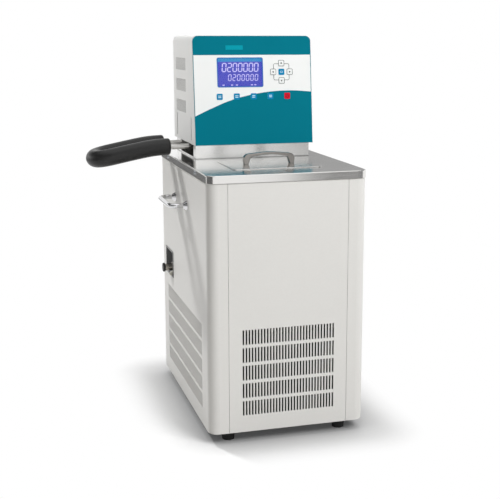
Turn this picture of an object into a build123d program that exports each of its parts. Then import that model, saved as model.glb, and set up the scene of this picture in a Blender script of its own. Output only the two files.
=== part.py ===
from build123d import *
import math
import os

# Heated circulating bath: a cabinet with a refrigeration set below, a stainless bath on top and a control head
# on a short neck at the rear. Millimetres, +Z up, +Y to the rear, origin on the floor under the middle.

# Driving sizes of the cabinet
foot_h = 22.0
foot_d = 28.0
cab_w = 320.0
cab_d = 480.0
cab_h = 510.0
corner_r = 20.0
sheet = 1.5
fit = 0.3
punch = 1.0
seam_in = 39.0
seam_gap = 0.6
flange_w = 12.0
pan_rim = 18.0
foot_side = 44.0
foot_end = 32.0

# Deck, lid and tank
deck_t = 1.5
lip_h = 15.0
edge_r = 2.0
lid_side = 33.0
lid_in = 10.0
lid_gap = 48.0
lid_t = 1.5
lid_rest = 8.0
lid_rim_h = 8.0
lid_rim_t = 1.2
lid_r = 10.0
tank_side = 20.0
tank_end = 60.0
tank_rear = 84.0
tank_depth = 150.0
tank_t = 1.2
tank_r = 12.0
tank_flange = 8.0
foam_t = 20.0

# Neck and head
neck_w = 250.0
neck_rear = 18.0
neck_h = 30.0
neck_flange = 10.0
cutout_side = 28.0
cutout_lip = 3.0
head_over = 4.0
head_h = 226.0
head_step = 17.0
head_rear = 12.0
head_lean = 22.0
head_t = 2.0
head_r = 12.0
base_t = 2.0
fascia_t = 3.0
film_t = 0.6
film_in = 0.4
face_low = 1.0
key_rise = 0.4
key_r = 2.2

# Slots punched in the panels
slot_w = 3.2
slot_side = 28.9
slot_end = 68.1
slot_h = 29.5
slot_row = 36.0
slot_rows = 5
slot_low = 48.5
front_slots = 31
side_slots = 57
rear_slots = 15
rear_rows = 3
hood_slot_h = 26.0
hood_slot_pitch = 7.9
hood_slots = 13
hood_slot_rows = 3
hood_slot_in = 80.0
hood_slot_row = 45.3
hood_slot_low = 75.0
long_slot_w = 6.0
long_slot_h = 48.0
long_slot_low = 32.0
long_slot_in = 35.0
long_slot_apart = 148.0

# Face of the head, measured from the middle and up the slope
lcd_w = 98.0
lcd_h = 60.0
lcd_x = -28.0
lcd_drop = 76.07
lcd_t = 8.0
lcd_rim = 5.0
key_s = 13.0
keys_drop = 50.2
keys_pitch = 36.9
pad_x = 62.2
pad_rise = 0.4
pad_pitch = 18.2
board_t = 1.6

# Pipes and hose
pipe_r = 6.0
pipe_wall = 1.0
pipe_bend = 15.0
return_bend = 14.0
out_in = 66.0
pipe_apart = 76.0
nozzle_drop = 7.0
nozzle_out = 45.0
hose_r = 18.0
hose_straight = 30.0
hose_bow = 82.0
hose_bow_drop = 9.4
hose_reach = 156.0
hose_reach_drop = 24.5
hose_share = 0.45

# Pump
pump_share = -0.02
motor_r = 41.0
motor_h = 92.0
shaft_r = 4.0
run_fit = 0.05
column_r = 10.0
column_bore = 7.0
housing_r = 27.0
housing_h = 26.0
housing_wall = 3.0
housing_low = 16.0
window_w = 6.0
window_h = 30.0
spigot_wall = 2.0
port_l = 2.0
impeller_r = 20.0
impeller_h = 12.0
impeller_blades = 6
impeller_disc = 2.0
impeller_sweep = 25.0
impeller_blade_t = 1.5
eye_r = 9.0
plate_t = 2.5
plate_side = 25.0
plate_in = 4.0
plate_d = 112.0
well_margin = 8.0
riser_share = -0.24

# Heater, coil and probe in the tank
rod_r = 4.0
rod_bend = 14.0
rod_foot = 16.0
rod_top = 12.0
heater_share = 0.14
heater_ahead = 24.0
heater_behind = 26.0
coil_share = 0.32
coil_ahead = 28.0
coil_behind = 36.0
coil_rise_in = 14.0
coil_pitch = 22.0
coil_rows = 4
coil_bend = 10.0
line_share = 0.408
line_rear = 46.0
line_end = 178.0
probe_share = 0.232
probe_ahead = 16.0
probe_r = 2.5
probe_l = 110.0
well_hole = 5.0

# Refrigeration set on the base pan
line_r = 4.0
line_bend = 12.0
stub_bend = 11.0
grommet_r = 10.0
grommet_h = 12.0
comp_x = 55.0
comp_in = 145.0
comp_r = 62.0
comp_h = 165.0
comp_edge = 28.0
comp_plate = 4.0
comp_plate_rim = 12.0
comp_foot_x = 60.0
comp_foot_y = 48.0
cond_feet = 11.0
cond_d = 40.0
cond_h = 190.0
cond_front = 12.0
fin_count = 20
fin_t = 3.0
fin_core = 8.0
header_w = 12.0
shroud_t = 2.0
shroud_side = 13.0
shroud_depth = 42.0
fan_side = 14.0
fan_tip = 4.0
fan_gap = 2.0
fan_chord = 44.0
fan_pitch = 35.0
fan_blade_t = 2.0
fan_blades_n = 5
fan_hub_r = 20.0
fan_depth = 18.0
fan_motor_r = 30.0
fan_motor_l = 50.0
strap_t = 3.0
strap_h = 34.0
drier_x = -30.0
drier_in = 55.0
drier_r = 11.0
drier_l = 80.0
drier_drop = 69.0
run_low = 34.0
suction_x = 20.0
suction_y = 15.0
suction_rise = 50.0
capillary_drop = 30.0
discharge_x = -10.0
discharge_y = -12.0
discharge_rise = 36.0
run_x = -124.0
stub_inset = 6.0

# Drain recess and valve, on the left side
drain_in = 90.0
drain_drop = 106.5
recess_w = 76.0
recess_h = 55.0
recess_depth = 32.0
recess_rise = 13.0
recess_rim = 2.0
recess_t = 1.2
valve_r = 11.0
valve_l = 26.0
valve_nut = 6.0
gland_l = 16.0
gland_r = 8.0
boss_wall = 2.0
boss_l = 3.0
boss_drop = 2.0
boss_in = 8.0
stem_in = 9.0
stem_r = 3.0
stem_out = 1.0
knob_r = 10.0
knob_t = 4.5
knob_flutes = 8
flute_r = 1.6
spout_r = 4.5
spout_wall = 1.5
spout_run = 12.0
spout_side = 6.0
spout_out = 6.0
spout_drop = 7.0
spout_bend = 7.0
drain_share = -0.32
drain_hole_in = 30.0

# Handles, feet and screws
bow_drop = 86.0
bow_y = 15.0
bow_span = 120.0
bow_reach = 34.0
bow_r = 5.0
bow_bend = 14.0
bow_foot_r = 10.0
bow_foot_l = 8.0
pull_span = 96.0
pull_rise = 25.0
pull_arch = 5.0
pull_bar = 5.0
pull_foot_w = 9.0
pull_out = 3.5
pull_in = 5.5
pull_depth = 11.0
pull_edge = 1.5
pull_shoulder = 12.0
pull_throat = 7.0
pull_crown = 150.0
screw_r = 2.0
screw_head_r = 3.8
screw_head_h = 2.2
screw_fit = 0.2
foot_screw_r = 3.0
foot_screw_l = 12.0
foot_taper = 2.0
bow_screw_l = 12.0
deck_screw_y = 139.0
deck_screw_drop = 6.0
deck_screw_l = 8.0
cross_l = 4.2
cross_w = 0.9
cross_deep = 1.1

# Power inlet on the rear panel
inlet_w = 28.0
inlet_h = 20.0
inlet_rim = 8.0
inlet_flange = 1.5
inlet_deep = 26.0
inlet_x = -90.0
inlet_drop = 232.0
inlet_wall = 2.0
inlet_back = 4.0
pin_half_w = 1.0
pin_half_h = 2.0
pin_spots = ((-7.0, -1.0), (7.0, -1.0), (0.0, 3.0))

# Relay box in the head
relay_w = 70.0
relay_d = 50.0
relay_h = 40.0
relay_side = 51.0
relay_in = 63.0

# Heights and places worked out from the sizes above
side_x = cab_w / 2
back_y = cab_d / 2
body_z = foot_h
deck_z = foot_h + cab_h
under_deck = deck_z - deck_t
pan_top = body_z + sheet
panel_top = under_deck - fit
seam_x = side_x - seam_in
foot_x = side_x - foot_side
foot_y = back_y - foot_end
bow_z = deck_z - bow_drop
inlet_z = deck_z - inlet_drop
front_pitch = 2 * (seam_x - slot_side) / (front_slots - 1)
side_pitch = 2 * (back_y - slot_end) / (side_slots - 1)
deck_w = cab_w + 2 * (fit + deck_t)
deck_d = cab_d + 2 * (fit + deck_t)

# The neck's depth follows from the pump plate, which ends over the tank's rear wall
neck_back = back_y - neck_rear
tank_back = neck_back - tank_rear
plate_back = tank_back
plate_front = plate_back - plate_d
plate_y = (plate_front + plate_back) / 2
plate_w = neck_w - 2 * plate_side
plate_top = deck_z + plate_t
neck_front = plate_front - plate_in
head_z = deck_z + neck_h
head_w = neck_w + 2 * head_over
head_front = neck_front - head_step
head_back = back_y - head_rear
lean = math.atan2(head_lean, head_h)
slope_h = head_h / math.cos(lean)
lcd_v = slope_h - lcd_drop
keys_v = lcd_v - keys_drop
pad_v = lcd_v + pad_rise
hood_slot_y = head_back - hood_slot_in
long_slot_back = head_back - long_slot_in
long_slot_front = long_slot_back - long_slot_apart
relay_x = relay_side - head_w / 2
relay_y = head_back - relay_in

# The tank ends under the neck, the lid in front of it
tank_w = neck_w - 2 * tank_side
tank_front = tank_end - back_y
tank_y = (tank_front + tank_back) / 2
tank_d = tank_back - tank_front
tank_floor = under_deck - tank_depth
lid_w = neck_w - 2 * lid_side
lid_front = tank_front + lid_in
lid_back = neck_front - lid_gap
lid_y = (lid_front + lid_back) / 2
lid_d = lid_back - lid_front
opening_w = lid_w - 2 * lid_rest
opening_d = lid_d - 2 * lid_rest

# Pipes, pump, heater, coil and probe share out the neck's width
out_y = plate_back - out_in
return_y = out_y + pipe_apart
cutout_front = out_y - cutout_side
cutout_back = return_y + cutout_side
nozzle_x = neck_w / 2 + nozzle_out
nozzle_z = head_z - nozzle_drop
drain_x = drain_share * neck_w
riser_x = riser_share * neck_w
pump_x = pump_share * neck_w
heater_x = heater_share * neck_w
probe_x = probe_share * neck_w
coil_x = coil_share * neck_w
line_x = line_share * neck_w
heater_front = out_y - heater_ahead
heater_back = out_y + heater_behind
probe_y = out_y - probe_ahead
coil_front = out_y - coil_ahead
coil_back = out_y + coil_behind
coil_rise = plate_back - coil_rise_in
line_y = neck_back - line_rear

# The drain and the drier hang below the tank, the refrigeration set stands at the rear
drain_z = tank_floor - drain_drop
drain_y = back_y - drain_in
drain_hole_y = tank_back - drain_hole_in
recess_z = drain_z + recess_rise
comp_y = back_y - comp_in
drier_y = back_y - drier_in
drier_z = drain_z - drier_drop

# The condenser stands between the feet's screws, with the shroud and the fan inside its width
cond_w = 2 * (foot_x - cond_feet)
shroud_w = cond_w - 2 * shroud_side
fan_r = shroud_w / 2 - fan_side


def block(x0, x1, y0, y1, z0, z1):
    """A box between two corners."""
    place = Pos((x0 + x1) / 2, (y0 + y1) / 2, (z0 + z1) / 2)
    return place * Box(x1 - x0, y1 - y0, z1 - z0)


def rounded(width, depth, radius, z0, z1, y=0.0):
    """An upright slab with rounded corners between two heights."""
    return Pos(0, y, z0) * extrude(RectangleRounded(width, depth, radius), z1 - z0)


def drum(radius, x, y, z0, z1):
    """An upright cylinder."""
    return Pos(x, y, (z0 + z1) / 2) * Cylinder(radius, z1 - z0)


def rod_x(radius, x0, x1, y, z):
    """A cylinder along X."""
    return Pos((x0 + x1) / 2, y, z) * Rot(0, 90, 0) * Cylinder(radius, abs(x1 - x0))


def rod_y(radius, x, y0, y1, z):
    """A cylinder along Y."""
    return Pos(x, (y0 + y1) / 2, z) * Rot(90, 0, 0) * Cylinder(radius, abs(y1 - y0))


def tube(points, bend, radius, bore=0.0):
    """A round bar or tube along straight runs joined by arcs."""
    path = FilletPolyline(*points, radius=bend)
    section = Circle(radius) - Circle(bore) if bore else Circle(radius)
    return sweep(Plane(origin=path @ 0, z_dir=path % 0) * section, path=path)


def write(name, shape):
    export_step(shape, os.path.join("parts", name + ".step"))


# Cabinet

def wrap():
    """The ring of sheet from which the two side panels are taken."""
    outer = rounded(cab_w, cab_d, corner_r, body_z, panel_top)
    inner = rounded(cab_w - 2 * sheet, cab_d - 2 * sheet, corner_r - sheet, body_z, panel_top)
    return outer - inner


def slot_tools(columns, rows, pitch, across_x, x, y):
    """Boxes that punch rows of upright slots through a panel."""
    deep = 4 * sheet
    size = (slot_w, deep) if across_x else (deep, slot_w)
    tools = []
    for row in range(rows):
        z = body_z + slot_low + row * slot_row
        for column in range(columns):
            shift = (column - (columns - 1) / 2) * pitch
            place = (x + shift, y, z) if across_x else (x, y + shift, z)
            tools.append(Pos(*place) * Box(*size, slot_h))
    return tools


def side_holes(side):
    """Holes through one side wall for the bow handle's and the deck's screws."""
    reach = 3 * corner_r
    x0 = side * (side_x - reach / 2)
    x1 = side * (side_x + reach / 2)
    holes = [rod_x(screw_r + screw_fit, x0, x1, y, deck_z - deck_screw_drop) for y in deck_screw_ys()]
    return holes + [rod_x(foot_screw_r + screw_fit, x0, x1, y, bow_z) for y in bow_ys()]


def deck_screw_ys():
    return (-deck_screw_y, deck_screw_y)


def bow_ys():
    return (bow_y - bow_span / 2, bow_y + bow_span / 2)


def side_panel(side):
    """Side wall with its two round corners and flanges, up to the seams."""
    edge = seam_x + seam_gap / 2
    low, high = (-side_x, -edge) if side < 0 else (edge, side_x)
    panel = wrap() & block(low, high, -back_y, back_y, body_z, panel_top)
    return panel - side_holes(side)


def left_side_panel():
    panel = side_panel(-1) - slot_tools(side_slots, slot_rows, side_pitch, False, -side_x, 0)
    half_w = recess_w / 2 + fit
    half_h = recess_h / 2 + fit
    opening = block(-side_x - sheet, -side_x + 2 * sheet, drain_y - half_w, drain_y + half_w,
                    recess_z - half_h, recess_z + half_h)
    return panel - opening


def flat_panel(face_y, inward):
    """A flat sheet between the seams, with its two long edges folded inward."""
    half = seam_x - seam_gap / 2
    skin = block(-half, half, min(face_y, face_y + inward * sheet), max(face_y, face_y + inward * sheet),
                 body_z, panel_top)
    low_y, high_y = sorted((face_y + inward * sheet, face_y + inward * (sheet + flange_w)))
    fold_z = body_z + pan_rim + punch
    left = block(-half, -half + sheet, low_y, high_y, fold_z, panel_top)
    right = block(half - sheet, half, low_y, high_y, fold_z, panel_top)
    return skin + left + right


def front_panel():
    return flat_panel(-back_y, 1) - slot_tools(front_slots, slot_rows, front_pitch, True, 0, -back_y)


def rear_panel():
    panel = flat_panel(back_y, -1) - slot_tools(rear_slots, rear_rows, 2 * front_pitch, True, 0, back_y)
    half_w = inlet_w / 2 + fit
    half_h = inlet_h / 2 + fit
    return panel - block(inlet_x - half_w, inlet_x + half_w, back_y - 2 * sheet, back_y + sheet,
                         inlet_z - half_h, inlet_z + half_h)


def base_pan():
    """Tray inside the panels that carries the refrigeration set."""
    inset = sheet + fit
    width = cab_w - 2 * inset
    depth = cab_d - 2 * inset
    radius = corner_r - inset
    tray = rounded(width, depth, radius, body_z, body_z + pan_rim)
    tray -= rounded(width - 2 * sheet, depth - 2 * sheet, radius - sheet, pan_top, body_z + pan_rim)
    holes = [drum(foot_screw_r + screw_fit, x, y, body_z - punch, pan_top + punch) for x, y in foot_places()]
    return tray - holes


def foot_places():
    return [(x, y) for y in (-foot_y, foot_y) for x in (-foot_x, foot_x)]


def foot(x, y):
    """Rubber foot, a little narrower at the floor, with a blind hole for its screw."""
    body = Pos(x, y, foot_h / 2) * Cone(foot_d / 2 - foot_taper, foot_d / 2, foot_h)
    return body - drum(foot_screw_r + screw_fit, x, y, foot_h - foot_screw_l, foot_h)


def foot_screws():
    """Screws from inside the pan down into the feet."""
    screws = []
    for x, y in foot_places():
        shank = drum(foot_screw_r, x, y, foot_h - foot_screw_l + punch, pan_top)
        head = drum(2 * foot_screw_r, x, y, pan_top, pan_top + screw_head_h)
        screws.append(shank + head)
    return Compound(children=screws)


# Deck, lid and tank

def deck():
    """Stainless top with a folded lip, the bath opening and the well under the neck."""
    top = rounded(deck_w, deck_d, corner_r + fit + deck_t, deck_z - lip_h, deck_z)
    top = fillet(top.faces().sort_by(Axis.Z)[-1].edges(), edge_r)
    top -= rounded(cab_w + 2 * fit, cab_d + 2 * fit, corner_r + fit, deck_z - lip_h, under_deck)
    top -= rounded(opening_w, opening_d, lid_r, under_deck, deck_z, lid_y)
    top -= rounded(plate_w - 2 * well_margin, plate_d - 2 * well_margin, lid_r, under_deck, deck_z, plate_y)
    for x in (coil_x, line_x):
        top -= drum(well_hole, x, line_y, under_deck - punch, deck_z + punch)
    for y in deck_screw_ys():
        top -= rod_x(screw_r + screw_fit, -deck_w, deck_w, y, deck_z - deck_screw_drop)
    return top


def deck_screws():
    """Pan-head screws with a cross recess, through the lip into the side panels."""
    screws = []
    z = deck_z - deck_screw_drop
    for side in (-1, 1):
        face = side * deck_w / 2
        end = face + side * screw_head_h
        for y in deck_screw_ys():
            shank = rod_x(screw_r, face, face - side * deck_screw_l, y, z)
            head = rod_x(screw_head_r, face, end, y, z)
            outer = head.faces().sort_by(Axis.X)[0 if side < 0 else -1]
            head = fillet(outer.edges(), screw_head_h / 2)
            for length, width in ((cross_l, cross_w), (cross_w, cross_l)):
                head -= Pos(end, y, z) * Box(2 * cross_deep, length, width)
            screws.append(head + shank)
    return Compound(children=screws)


def bath_tank():
    """Deep-drawn tank with a flange under the deck and an outlet in its floor."""
    wall = 2 * tank_t
    body = rounded(tank_w + wall, tank_d + wall, tank_r + tank_t, tank_floor - tank_t, under_deck, tank_y)
    body = fillet(body.faces().sort_by(Axis.Z)[0].edges(), tank_r / 2 + tank_t)
    hollow = rounded(tank_w, tank_d, tank_r, tank_floor, under_deck, tank_y)
    hollow = fillet(hollow.faces().sort_by(Axis.Z)[0].edges(), tank_r / 2)
    grow = 2 * tank_flange
    radius = tank_r + tank_flange
    flange = rounded(tank_w + grow, tank_d + grow, radius, under_deck - tank_t, under_deck, tank_y)
    drain = drum(pipe_r - pipe_wall, drain_x, drain_hole_y, tank_floor - 2 * tank_t, tank_floor + tank_t)
    return body + flange - hollow - drain


def tank_insulation():
    """Five foam boards round the tank, the bottom one with a hole for the drain pipe."""
    half_in = tank_w / 2 + tank_t + fit
    half_out = half_in + foam_t
    front = tank_front - tank_t - fit
    back = tank_back + tank_t + fit
    floor = tank_floor - tank_t
    top = under_deck - tank_t - fit
    bottom = block(-half_out, half_out, front - foam_t, back + foam_t, floor - foam_t, floor)
    bottom -= drum(pipe_r + fit, drain_x, drain_hole_y, floor - foam_t, floor)
    low = floor + fit
    left = block(-half_out, -half_in, front - foam_t, back + foam_t, low, top)
    right = block(half_in, half_out, front - foam_t, back + foam_t, low, top)
    ahead = block(fit - half_in, half_in - fit, front - foam_t, front, low, top)
    behind = block(fit - half_in, half_in - fit, back, back + foam_t, low, top)
    return Compound(children=[bottom, left, right, ahead, behind])


def lid():
    """Flat cover with a folded rim that locates it in the opening."""
    plate = rounded(lid_w, lid_d, lid_r, deck_z, deck_z + lid_t, lid_y)
    plate = fillet(plate.faces().sort_by(Axis.Z)[-1].edges(), lid_t / 2)
    rim_w = opening_w - 4 * lid_rim_t
    rim_d = opening_d - 4 * lid_rim_t
    low = deck_z - lid_rim_h
    rim = rounded(rim_w, rim_d, lid_r - lid_rim_t, low, deck_z, lid_y)
    rim -= rounded(rim_w - 2 * lid_rim_t, rim_d - 2 * lid_rim_t, lid_r - 2 * lid_rim_t, low, deck_z, lid_y)
    holes = [drum(screw_r + screw_fit, x, lid_y, deck_z, deck_z + lid_t) for x in pull_xs()]
    return plate + rim - holes


def pull_xs():
    return (-pull_span / 2, pull_span / 2)


def pull_line(base, hip, crown, bend):
    """Half of the pull's outline: up one leg, over the crown and down the other leg."""
    shoulder = crown - pull_arch
    points = [(-base, 0), (-hip, shoulder), (0, crown), (hip, shoulder), (base, 0)]
    return FilletPolyline(*points, radius=[bend, pull_crown, bend])


def lid_handle():
    """Arch pull cast in one with its two broad feet."""
    z = deck_z + lid_t
    inner_base = (pull_span - pull_foot_w) / 2
    outer_base = (pull_span + pull_foot_w) / 2
    outer = pull_line(outer_base, outer_base + pull_out, pull_rise, pull_shoulder)
    inner = pull_line(inner_base, inner_base - pull_in, pull_rise - pull_bar, pull_throat)
    feet = [Line((side * inner_base, 0), (side * outer_base, 0)) for side in (-1, 1)]
    outline = make_face(outer.edges() + inner.edges() + feet)
    arch = extrude(Plane.XZ * outline, pull_depth / 2, both=True)
    long_edges = arch.edges().filter_by(lambda edge: abs(edge.center().Y) > pull_depth / 2 - fit)
    long_edges = long_edges.filter_by(lambda edge: edge.center().Z > fit)
    arch = Pos(0, lid_y, z) * fillet(long_edges, pull_edge)
    return arch - [drum(screw_r + screw_fit, x, lid_y, z, z + deck_screw_l) for x in pull_xs()]


def lid_handle_screws():
    """Screws from under the lid up into the pull."""
    screws = []
    for x in pull_xs():
        shank = drum(screw_r, x, lid_y, deck_z, deck_z + lid_t + deck_screw_l - punch)
        screws.append(shank + drum(screw_head_r, x, lid_y, deck_z - screw_head_h, deck_z))
    return Compound(children=screws)


# Neck and head

def neck_skirt():
    """Stainless skirt that lifts the head off the deck, cut out on the left for the pipes."""
    half = neck_w / 2
    skirt = block(-half, half, neck_front, neck_back, deck_z, head_z)
    skirt -= block(-half + sheet, half - sheet, neck_front + sheet, neck_back - sheet, deck_z, head_z - sheet)
    inner = half - neck_flange
    skirt -= block(-inner, inner, neck_front + neck_flange, neck_back - neck_flange, deck_z, head_z)
    return skirt - block(-half, -inner, cutout_front, cutout_back, deck_z + cutout_lip, head_z)


def head_profile(inset, front, bottom):
    """Side view of the head: leaning front, round top rear corner."""
    z0 = head_z + bottom
    z1 = head_z + head_h - inset
    slope = head_lean / head_h
    low_front = head_front + front + (z0 - head_z) * slope
    high_front = head_front + front + (z1 - head_z) * slope
    rear = head_back - inset
    outline = Polyline((low_front, z0), (rear, z0), (rear, z1), (high_front, z1), close=True)
    return Plane.YZ * make_face(outline)


def head_block(inset, front, bottom):
    """The head as a solid, with its side, rear and top edges rounded."""
    half = head_w / 2 - inset
    solid = extrude(head_profile(inset, front, bottom), half, both=True)
    radius = head_r - inset
    top = solid.faces().sort_by(Axis.Z)[-1]
    long_edges = top.edges().filter_by(Axis.Y)
    rear_edge = top.edges().sort_by(Axis.Y)[-1]
    return fillet(long_edges + ShapeList([rear_edge]), radius)


def hood_tools():
    """Boxes that punch the hood's vents and long slots through both sides."""
    tools = []
    for row in range(hood_slot_rows):
        z = head_z + hood_slot_low + row * hood_slot_row
        for column in range(hood_slots):
            y = hood_slot_y + (column - (hood_slots - 1) / 2) * hood_slot_pitch
            tools.append(Pos(0, y, z) * Box(2 * head_w, slot_w, hood_slot_h))
    for y in (long_slot_front, long_slot_back):
        tools.append(Pos(0, y, head_z + long_slot_low) * Box(2 * head_w, long_slot_w, long_slot_h))
    return tools


def head_hood():
    """Painted steel hood: top, sides and rear in one, open at the face and underneath."""
    setback = film_t / math.cos(lean)
    return head_block(0, setback, 0) - head_block(head_t, -4 * head_t, -4 * head_t) - hood_tools()


def head_base():
    """Plate that closes the hood underneath and carries the motor."""
    half = head_w / 2 - head_t - fit
    front = head_front + fascia_t + 2 * film_t + fit
    plate = block(-half, half, front, head_back - head_t - fit, head_z, head_z + base_t)
    return plate - drum(motor_neck_r() + fit, pump_x, out_y, head_z - punch, head_z + base_t + punch)


def motor_neck_r():
    return column_r + spigot_wall


def face_plane():
    """Plane of the head's face: x across, y up the slope, z outward."""
    origin = (0, head_front, head_z)
    return Plane(origin=origin, x_dir=(1, 0, 0), z_dir=(0, -math.cos(lean), math.sin(lean)))


def face_plate(width, height, low, radius, back, front):
    """A plate parallel to the head's face with its two top corners rounded."""
    plate = Pos(0, low + height / 2, (back + front) / 2) * Box(width, height, front - back)
    top = plate.edges().filter_by(Axis.Z).sort_by(Axis.Y)[-2:]
    return fillet(top, radius)


def face_slab(width, height, x, v, back, front):
    """A plain box parallel to the head's face."""
    return Pos(x, v, (back + front) / 2) * Box(width, height, front - back)


def control_fascia():
    """Stiff plate in the hood's open face, with the display's window cut in it."""
    width = head_w - 2 * head_t - 2 * fit
    height = slope_h - head_t - fit - face_low
    plate = face_plate(width, height, face_low, head_r - head_t - fit, -film_t - fascia_t, -film_t)
    hole = face_slab(lcd_w + 2 * screw_fit, lcd_h + 2 * screw_fit, lcd_x, lcd_v, -2 * fascia_t, 0)
    return face_plane() * (plate - hole)


def key_places():
    """Middles of the row of five keys and the cross of five."""
    row = [(column * keys_pitch, keys_v) for column in range(-2, 3)]
    cross = [(pad_x + dx * pad_pitch, pad_v + dv * pad_pitch)
             for dx, dv in ((0, 0), (1, 0), (-1, 0), (0, 1), (0, -1))]
    return row + cross


def keypad_overlay():
    """Printed film over the fascia and the hood's edge, with embossed keys and an opening for the window."""
    film = face_plate(head_w - 2 * film_in, slope_h - 2 * film_in, film_in, head_r - film_in, -film_t, 0)
    film -= face_slab(lcd_w + 2 * screw_fit, lcd_h + 2 * screw_fit, lcd_x, lcd_v, -punch, punch)
    for x, v in key_places():
        film += Pos(x, v, 0) * extrude(RectangleRounded(key_s, key_s, key_r), key_rise)
    return face_plane() * film


def display_window():
    return face_plane() * face_slab(lcd_w, lcd_h, lcd_x, lcd_v, -film_t - fascia_t, 0)


def display_module():
    back = -film_t - fascia_t
    grow = 2 * lcd_rim
    return face_plane() * face_slab(lcd_w + grow, lcd_h + grow, lcd_x, lcd_v, back - lcd_t, back)


def control_board():
    back = -film_t - fascia_t - lcd_t
    grow = 6 * lcd_rim
    return face_plane() * face_slab(lcd_w + grow, lcd_h + grow, lcd_x, lcd_v, back - board_t, back)


def relay_box():
    low = head_z + base_t
    return block(relay_x - relay_w / 2, relay_x + relay_w / 2, relay_y - relay_d / 2, relay_y + relay_d / 2,
                 low, low + relay_h)


# Pump

def pump_plate():
    """Plate over the well in the deck: it carries the column, heater, coil and probe."""
    plate = rounded(plate_w, plate_d, lid_r, deck_z, plate_top, plate_y)
    spots = [(pump_x, out_y, column_bore)]
    spots += [(riser_x, out_y, pipe_r + fit), (drain_x, return_drop_y(), pipe_r + fit)]
    spots += [(heater_x, heater_front, rod_r + fit), (heater_x, heater_back, rod_r + fit)]
    spots += [(coil_x, coil_back, rod_r + fit), (coil_x, coil_rise, rod_r + fit)]
    spots += [(probe_x, probe_y, probe_r + fit)]
    return plate - [drum(r, x, y, deck_z - punch, plate_top + punch) for x, y, r in spots]


def return_drop_y():
    return return_y - 2 * pipe_bend


def pump_motor():
    """Motor on the head's base plate, with a spigot through it and a bore for the shaft."""
    low = head_z + base_t
    body = drum(motor_r, pump_x, out_y, low, low + motor_h)
    body = fillet(body.edges(), edge_r)
    spigot = drum(motor_neck_r(), pump_x, out_y, head_z - base_t, low)
    return body + spigot - drum(shaft_r + run_fit, pump_x, out_y, head_z - 2 * base_t, low + motor_h / 2)


def housing_z():
    return tank_floor + housing_low


def pump_column():
    """Tube between the plate and the pump housing, with windows that let the shaft be seen."""
    low = housing_z() + housing_h
    column = drum(column_r, pump_x, out_y, low, deck_z)
    column -= drum(column_bore, pump_x, out_y, low, deck_z)
    return column - Pos(pump_x, out_y, (low + deck_z) / 2) * Box(3 * column_r, window_w, window_h)


def pump_housing():
    """Round housing with an inlet eye below and an outlet port towards the riser."""
    z0 = housing_z()
    z1 = z0 + housing_h
    shell = drum(housing_r, pump_x, out_y, z0, z1)
    shell += rod_x(pipe_r + pipe_wall, pump_x - housing_r - port_l, pump_x, out_y, z0 + housing_h / 2)
    shell -= drum(housing_r - housing_wall, pump_x, out_y, z0 + housing_wall, z1 - housing_wall)
    shell -= drum(eye_r, pump_x, out_y, z0, z0 + housing_wall)
    shell -= drum(column_bore, pump_x, out_y, z1 - housing_wall, z1)
    return shell - rod_x(pipe_r - pipe_wall, pump_x - housing_r - port_l, pump_x, out_y, z0 + housing_h / 2)


def pump_shaft():
    top = head_z + base_t + motor_h / 2 - punch
    return drum(shaft_r, pump_x, out_y, impeller_z() + impeller_h, top)


def impeller_z():
    return housing_z() + (housing_h - impeller_h) / 2


def pump_impeller():
    """Disc with swept blades below it, fixed under the shaft's end."""
    z0 = impeller_z()
    wheel = drum(impeller_r, pump_x, out_y, z0 + impeller_h - impeller_disc, z0 + impeller_h)
    wheel += drum(shaft_r + impeller_disc, pump_x, out_y, z0, z0 + impeller_h)
    for index in range(impeller_blades):
        middle = Pos((impeller_r + shaft_r) / 2, 0, z0 + impeller_h / 2) * Rot(0, 0, impeller_sweep)
        blade = middle * Box(impeller_r - shaft_r, impeller_blade_t, impeller_h)
        wheel += Pos(pump_x, out_y, 0) * Rot(0, 0, index * 360 / impeller_blades) * blade
    return wheel & drum(impeller_r, pump_x, out_y, z0, z0 + impeller_h)


def outlet_pipe():
    """From the pump housing up through the plate and out of the neck's left side."""
    port_z = housing_z() + housing_h / 2
    start = pump_x - housing_r - port_l
    points = [(start, out_y, port_z), (riser_x, out_y, port_z), (riser_x, out_y, nozzle_z),
              (-nozzle_x, out_y, nozzle_z)]
    return tube(points, pipe_bend, pipe_r, pipe_r - pipe_wall)


def return_pipe():
    """From the rear nozzle through the neck and down into the tank."""
    drop_y = return_drop_y()
    points = [(-nozzle_x, return_y, nozzle_z), (drain_x, return_y, nozzle_z), (drain_x, drop_y, nozzle_z),
              (drain_x, drop_y, tank_floor + tank_depth / 2)]
    return tube(points, return_bend, pipe_r, pipe_r - pipe_wall)


def hose_points():
    """Route of the insulated hose from the front nozzle round to the rear one."""
    side_view = [(-nozzle_x, nozzle_z), (-nozzle_x - hose_straight, nozzle_z),
                 (-nozzle_x - hose_bow, nozzle_z - hose_bow_drop),
                 (-nozzle_x - hose_reach, nozzle_z - hose_reach_drop)]
    front = [(x, out_y, z) for x, z in side_view]
    return front + [(x, return_y, z) for x, z in reversed(side_view)]


def hose():
    """Insulated hose: each arc as large as its two runs allow."""
    points = [Vector(*point) for point in hose_points()]
    radii = []
    for before, here, after in zip(points, points[1:], points[2:]):
        turn = (here - before).get_angle(after - here)
        short = min((here - before).length, (after - here).length)
        radii.append(hose_share * short / math.tan(math.radians(turn) / 2))
    print("hose radii", [round(radius, 1) for radius in radii])
    path = FilletPolyline(*points, radius=radii)
    print("hose length", round(path.length, 1))
    return sweep(Plane(origin=path @ 0, z_dir=path % 0) * Circle(hose_r), path=path)


# Heater, coil and probe

def immersion_heater():
    low = tank_floor + rod_foot
    top = plate_top + rod_top
    points = [(heater_x, heater_front, top), (heater_x, heater_front, low), (heater_x, heater_back, low),
              (heater_x, heater_back, top)]
    return tube(points, rod_bend, rod_r)


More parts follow.
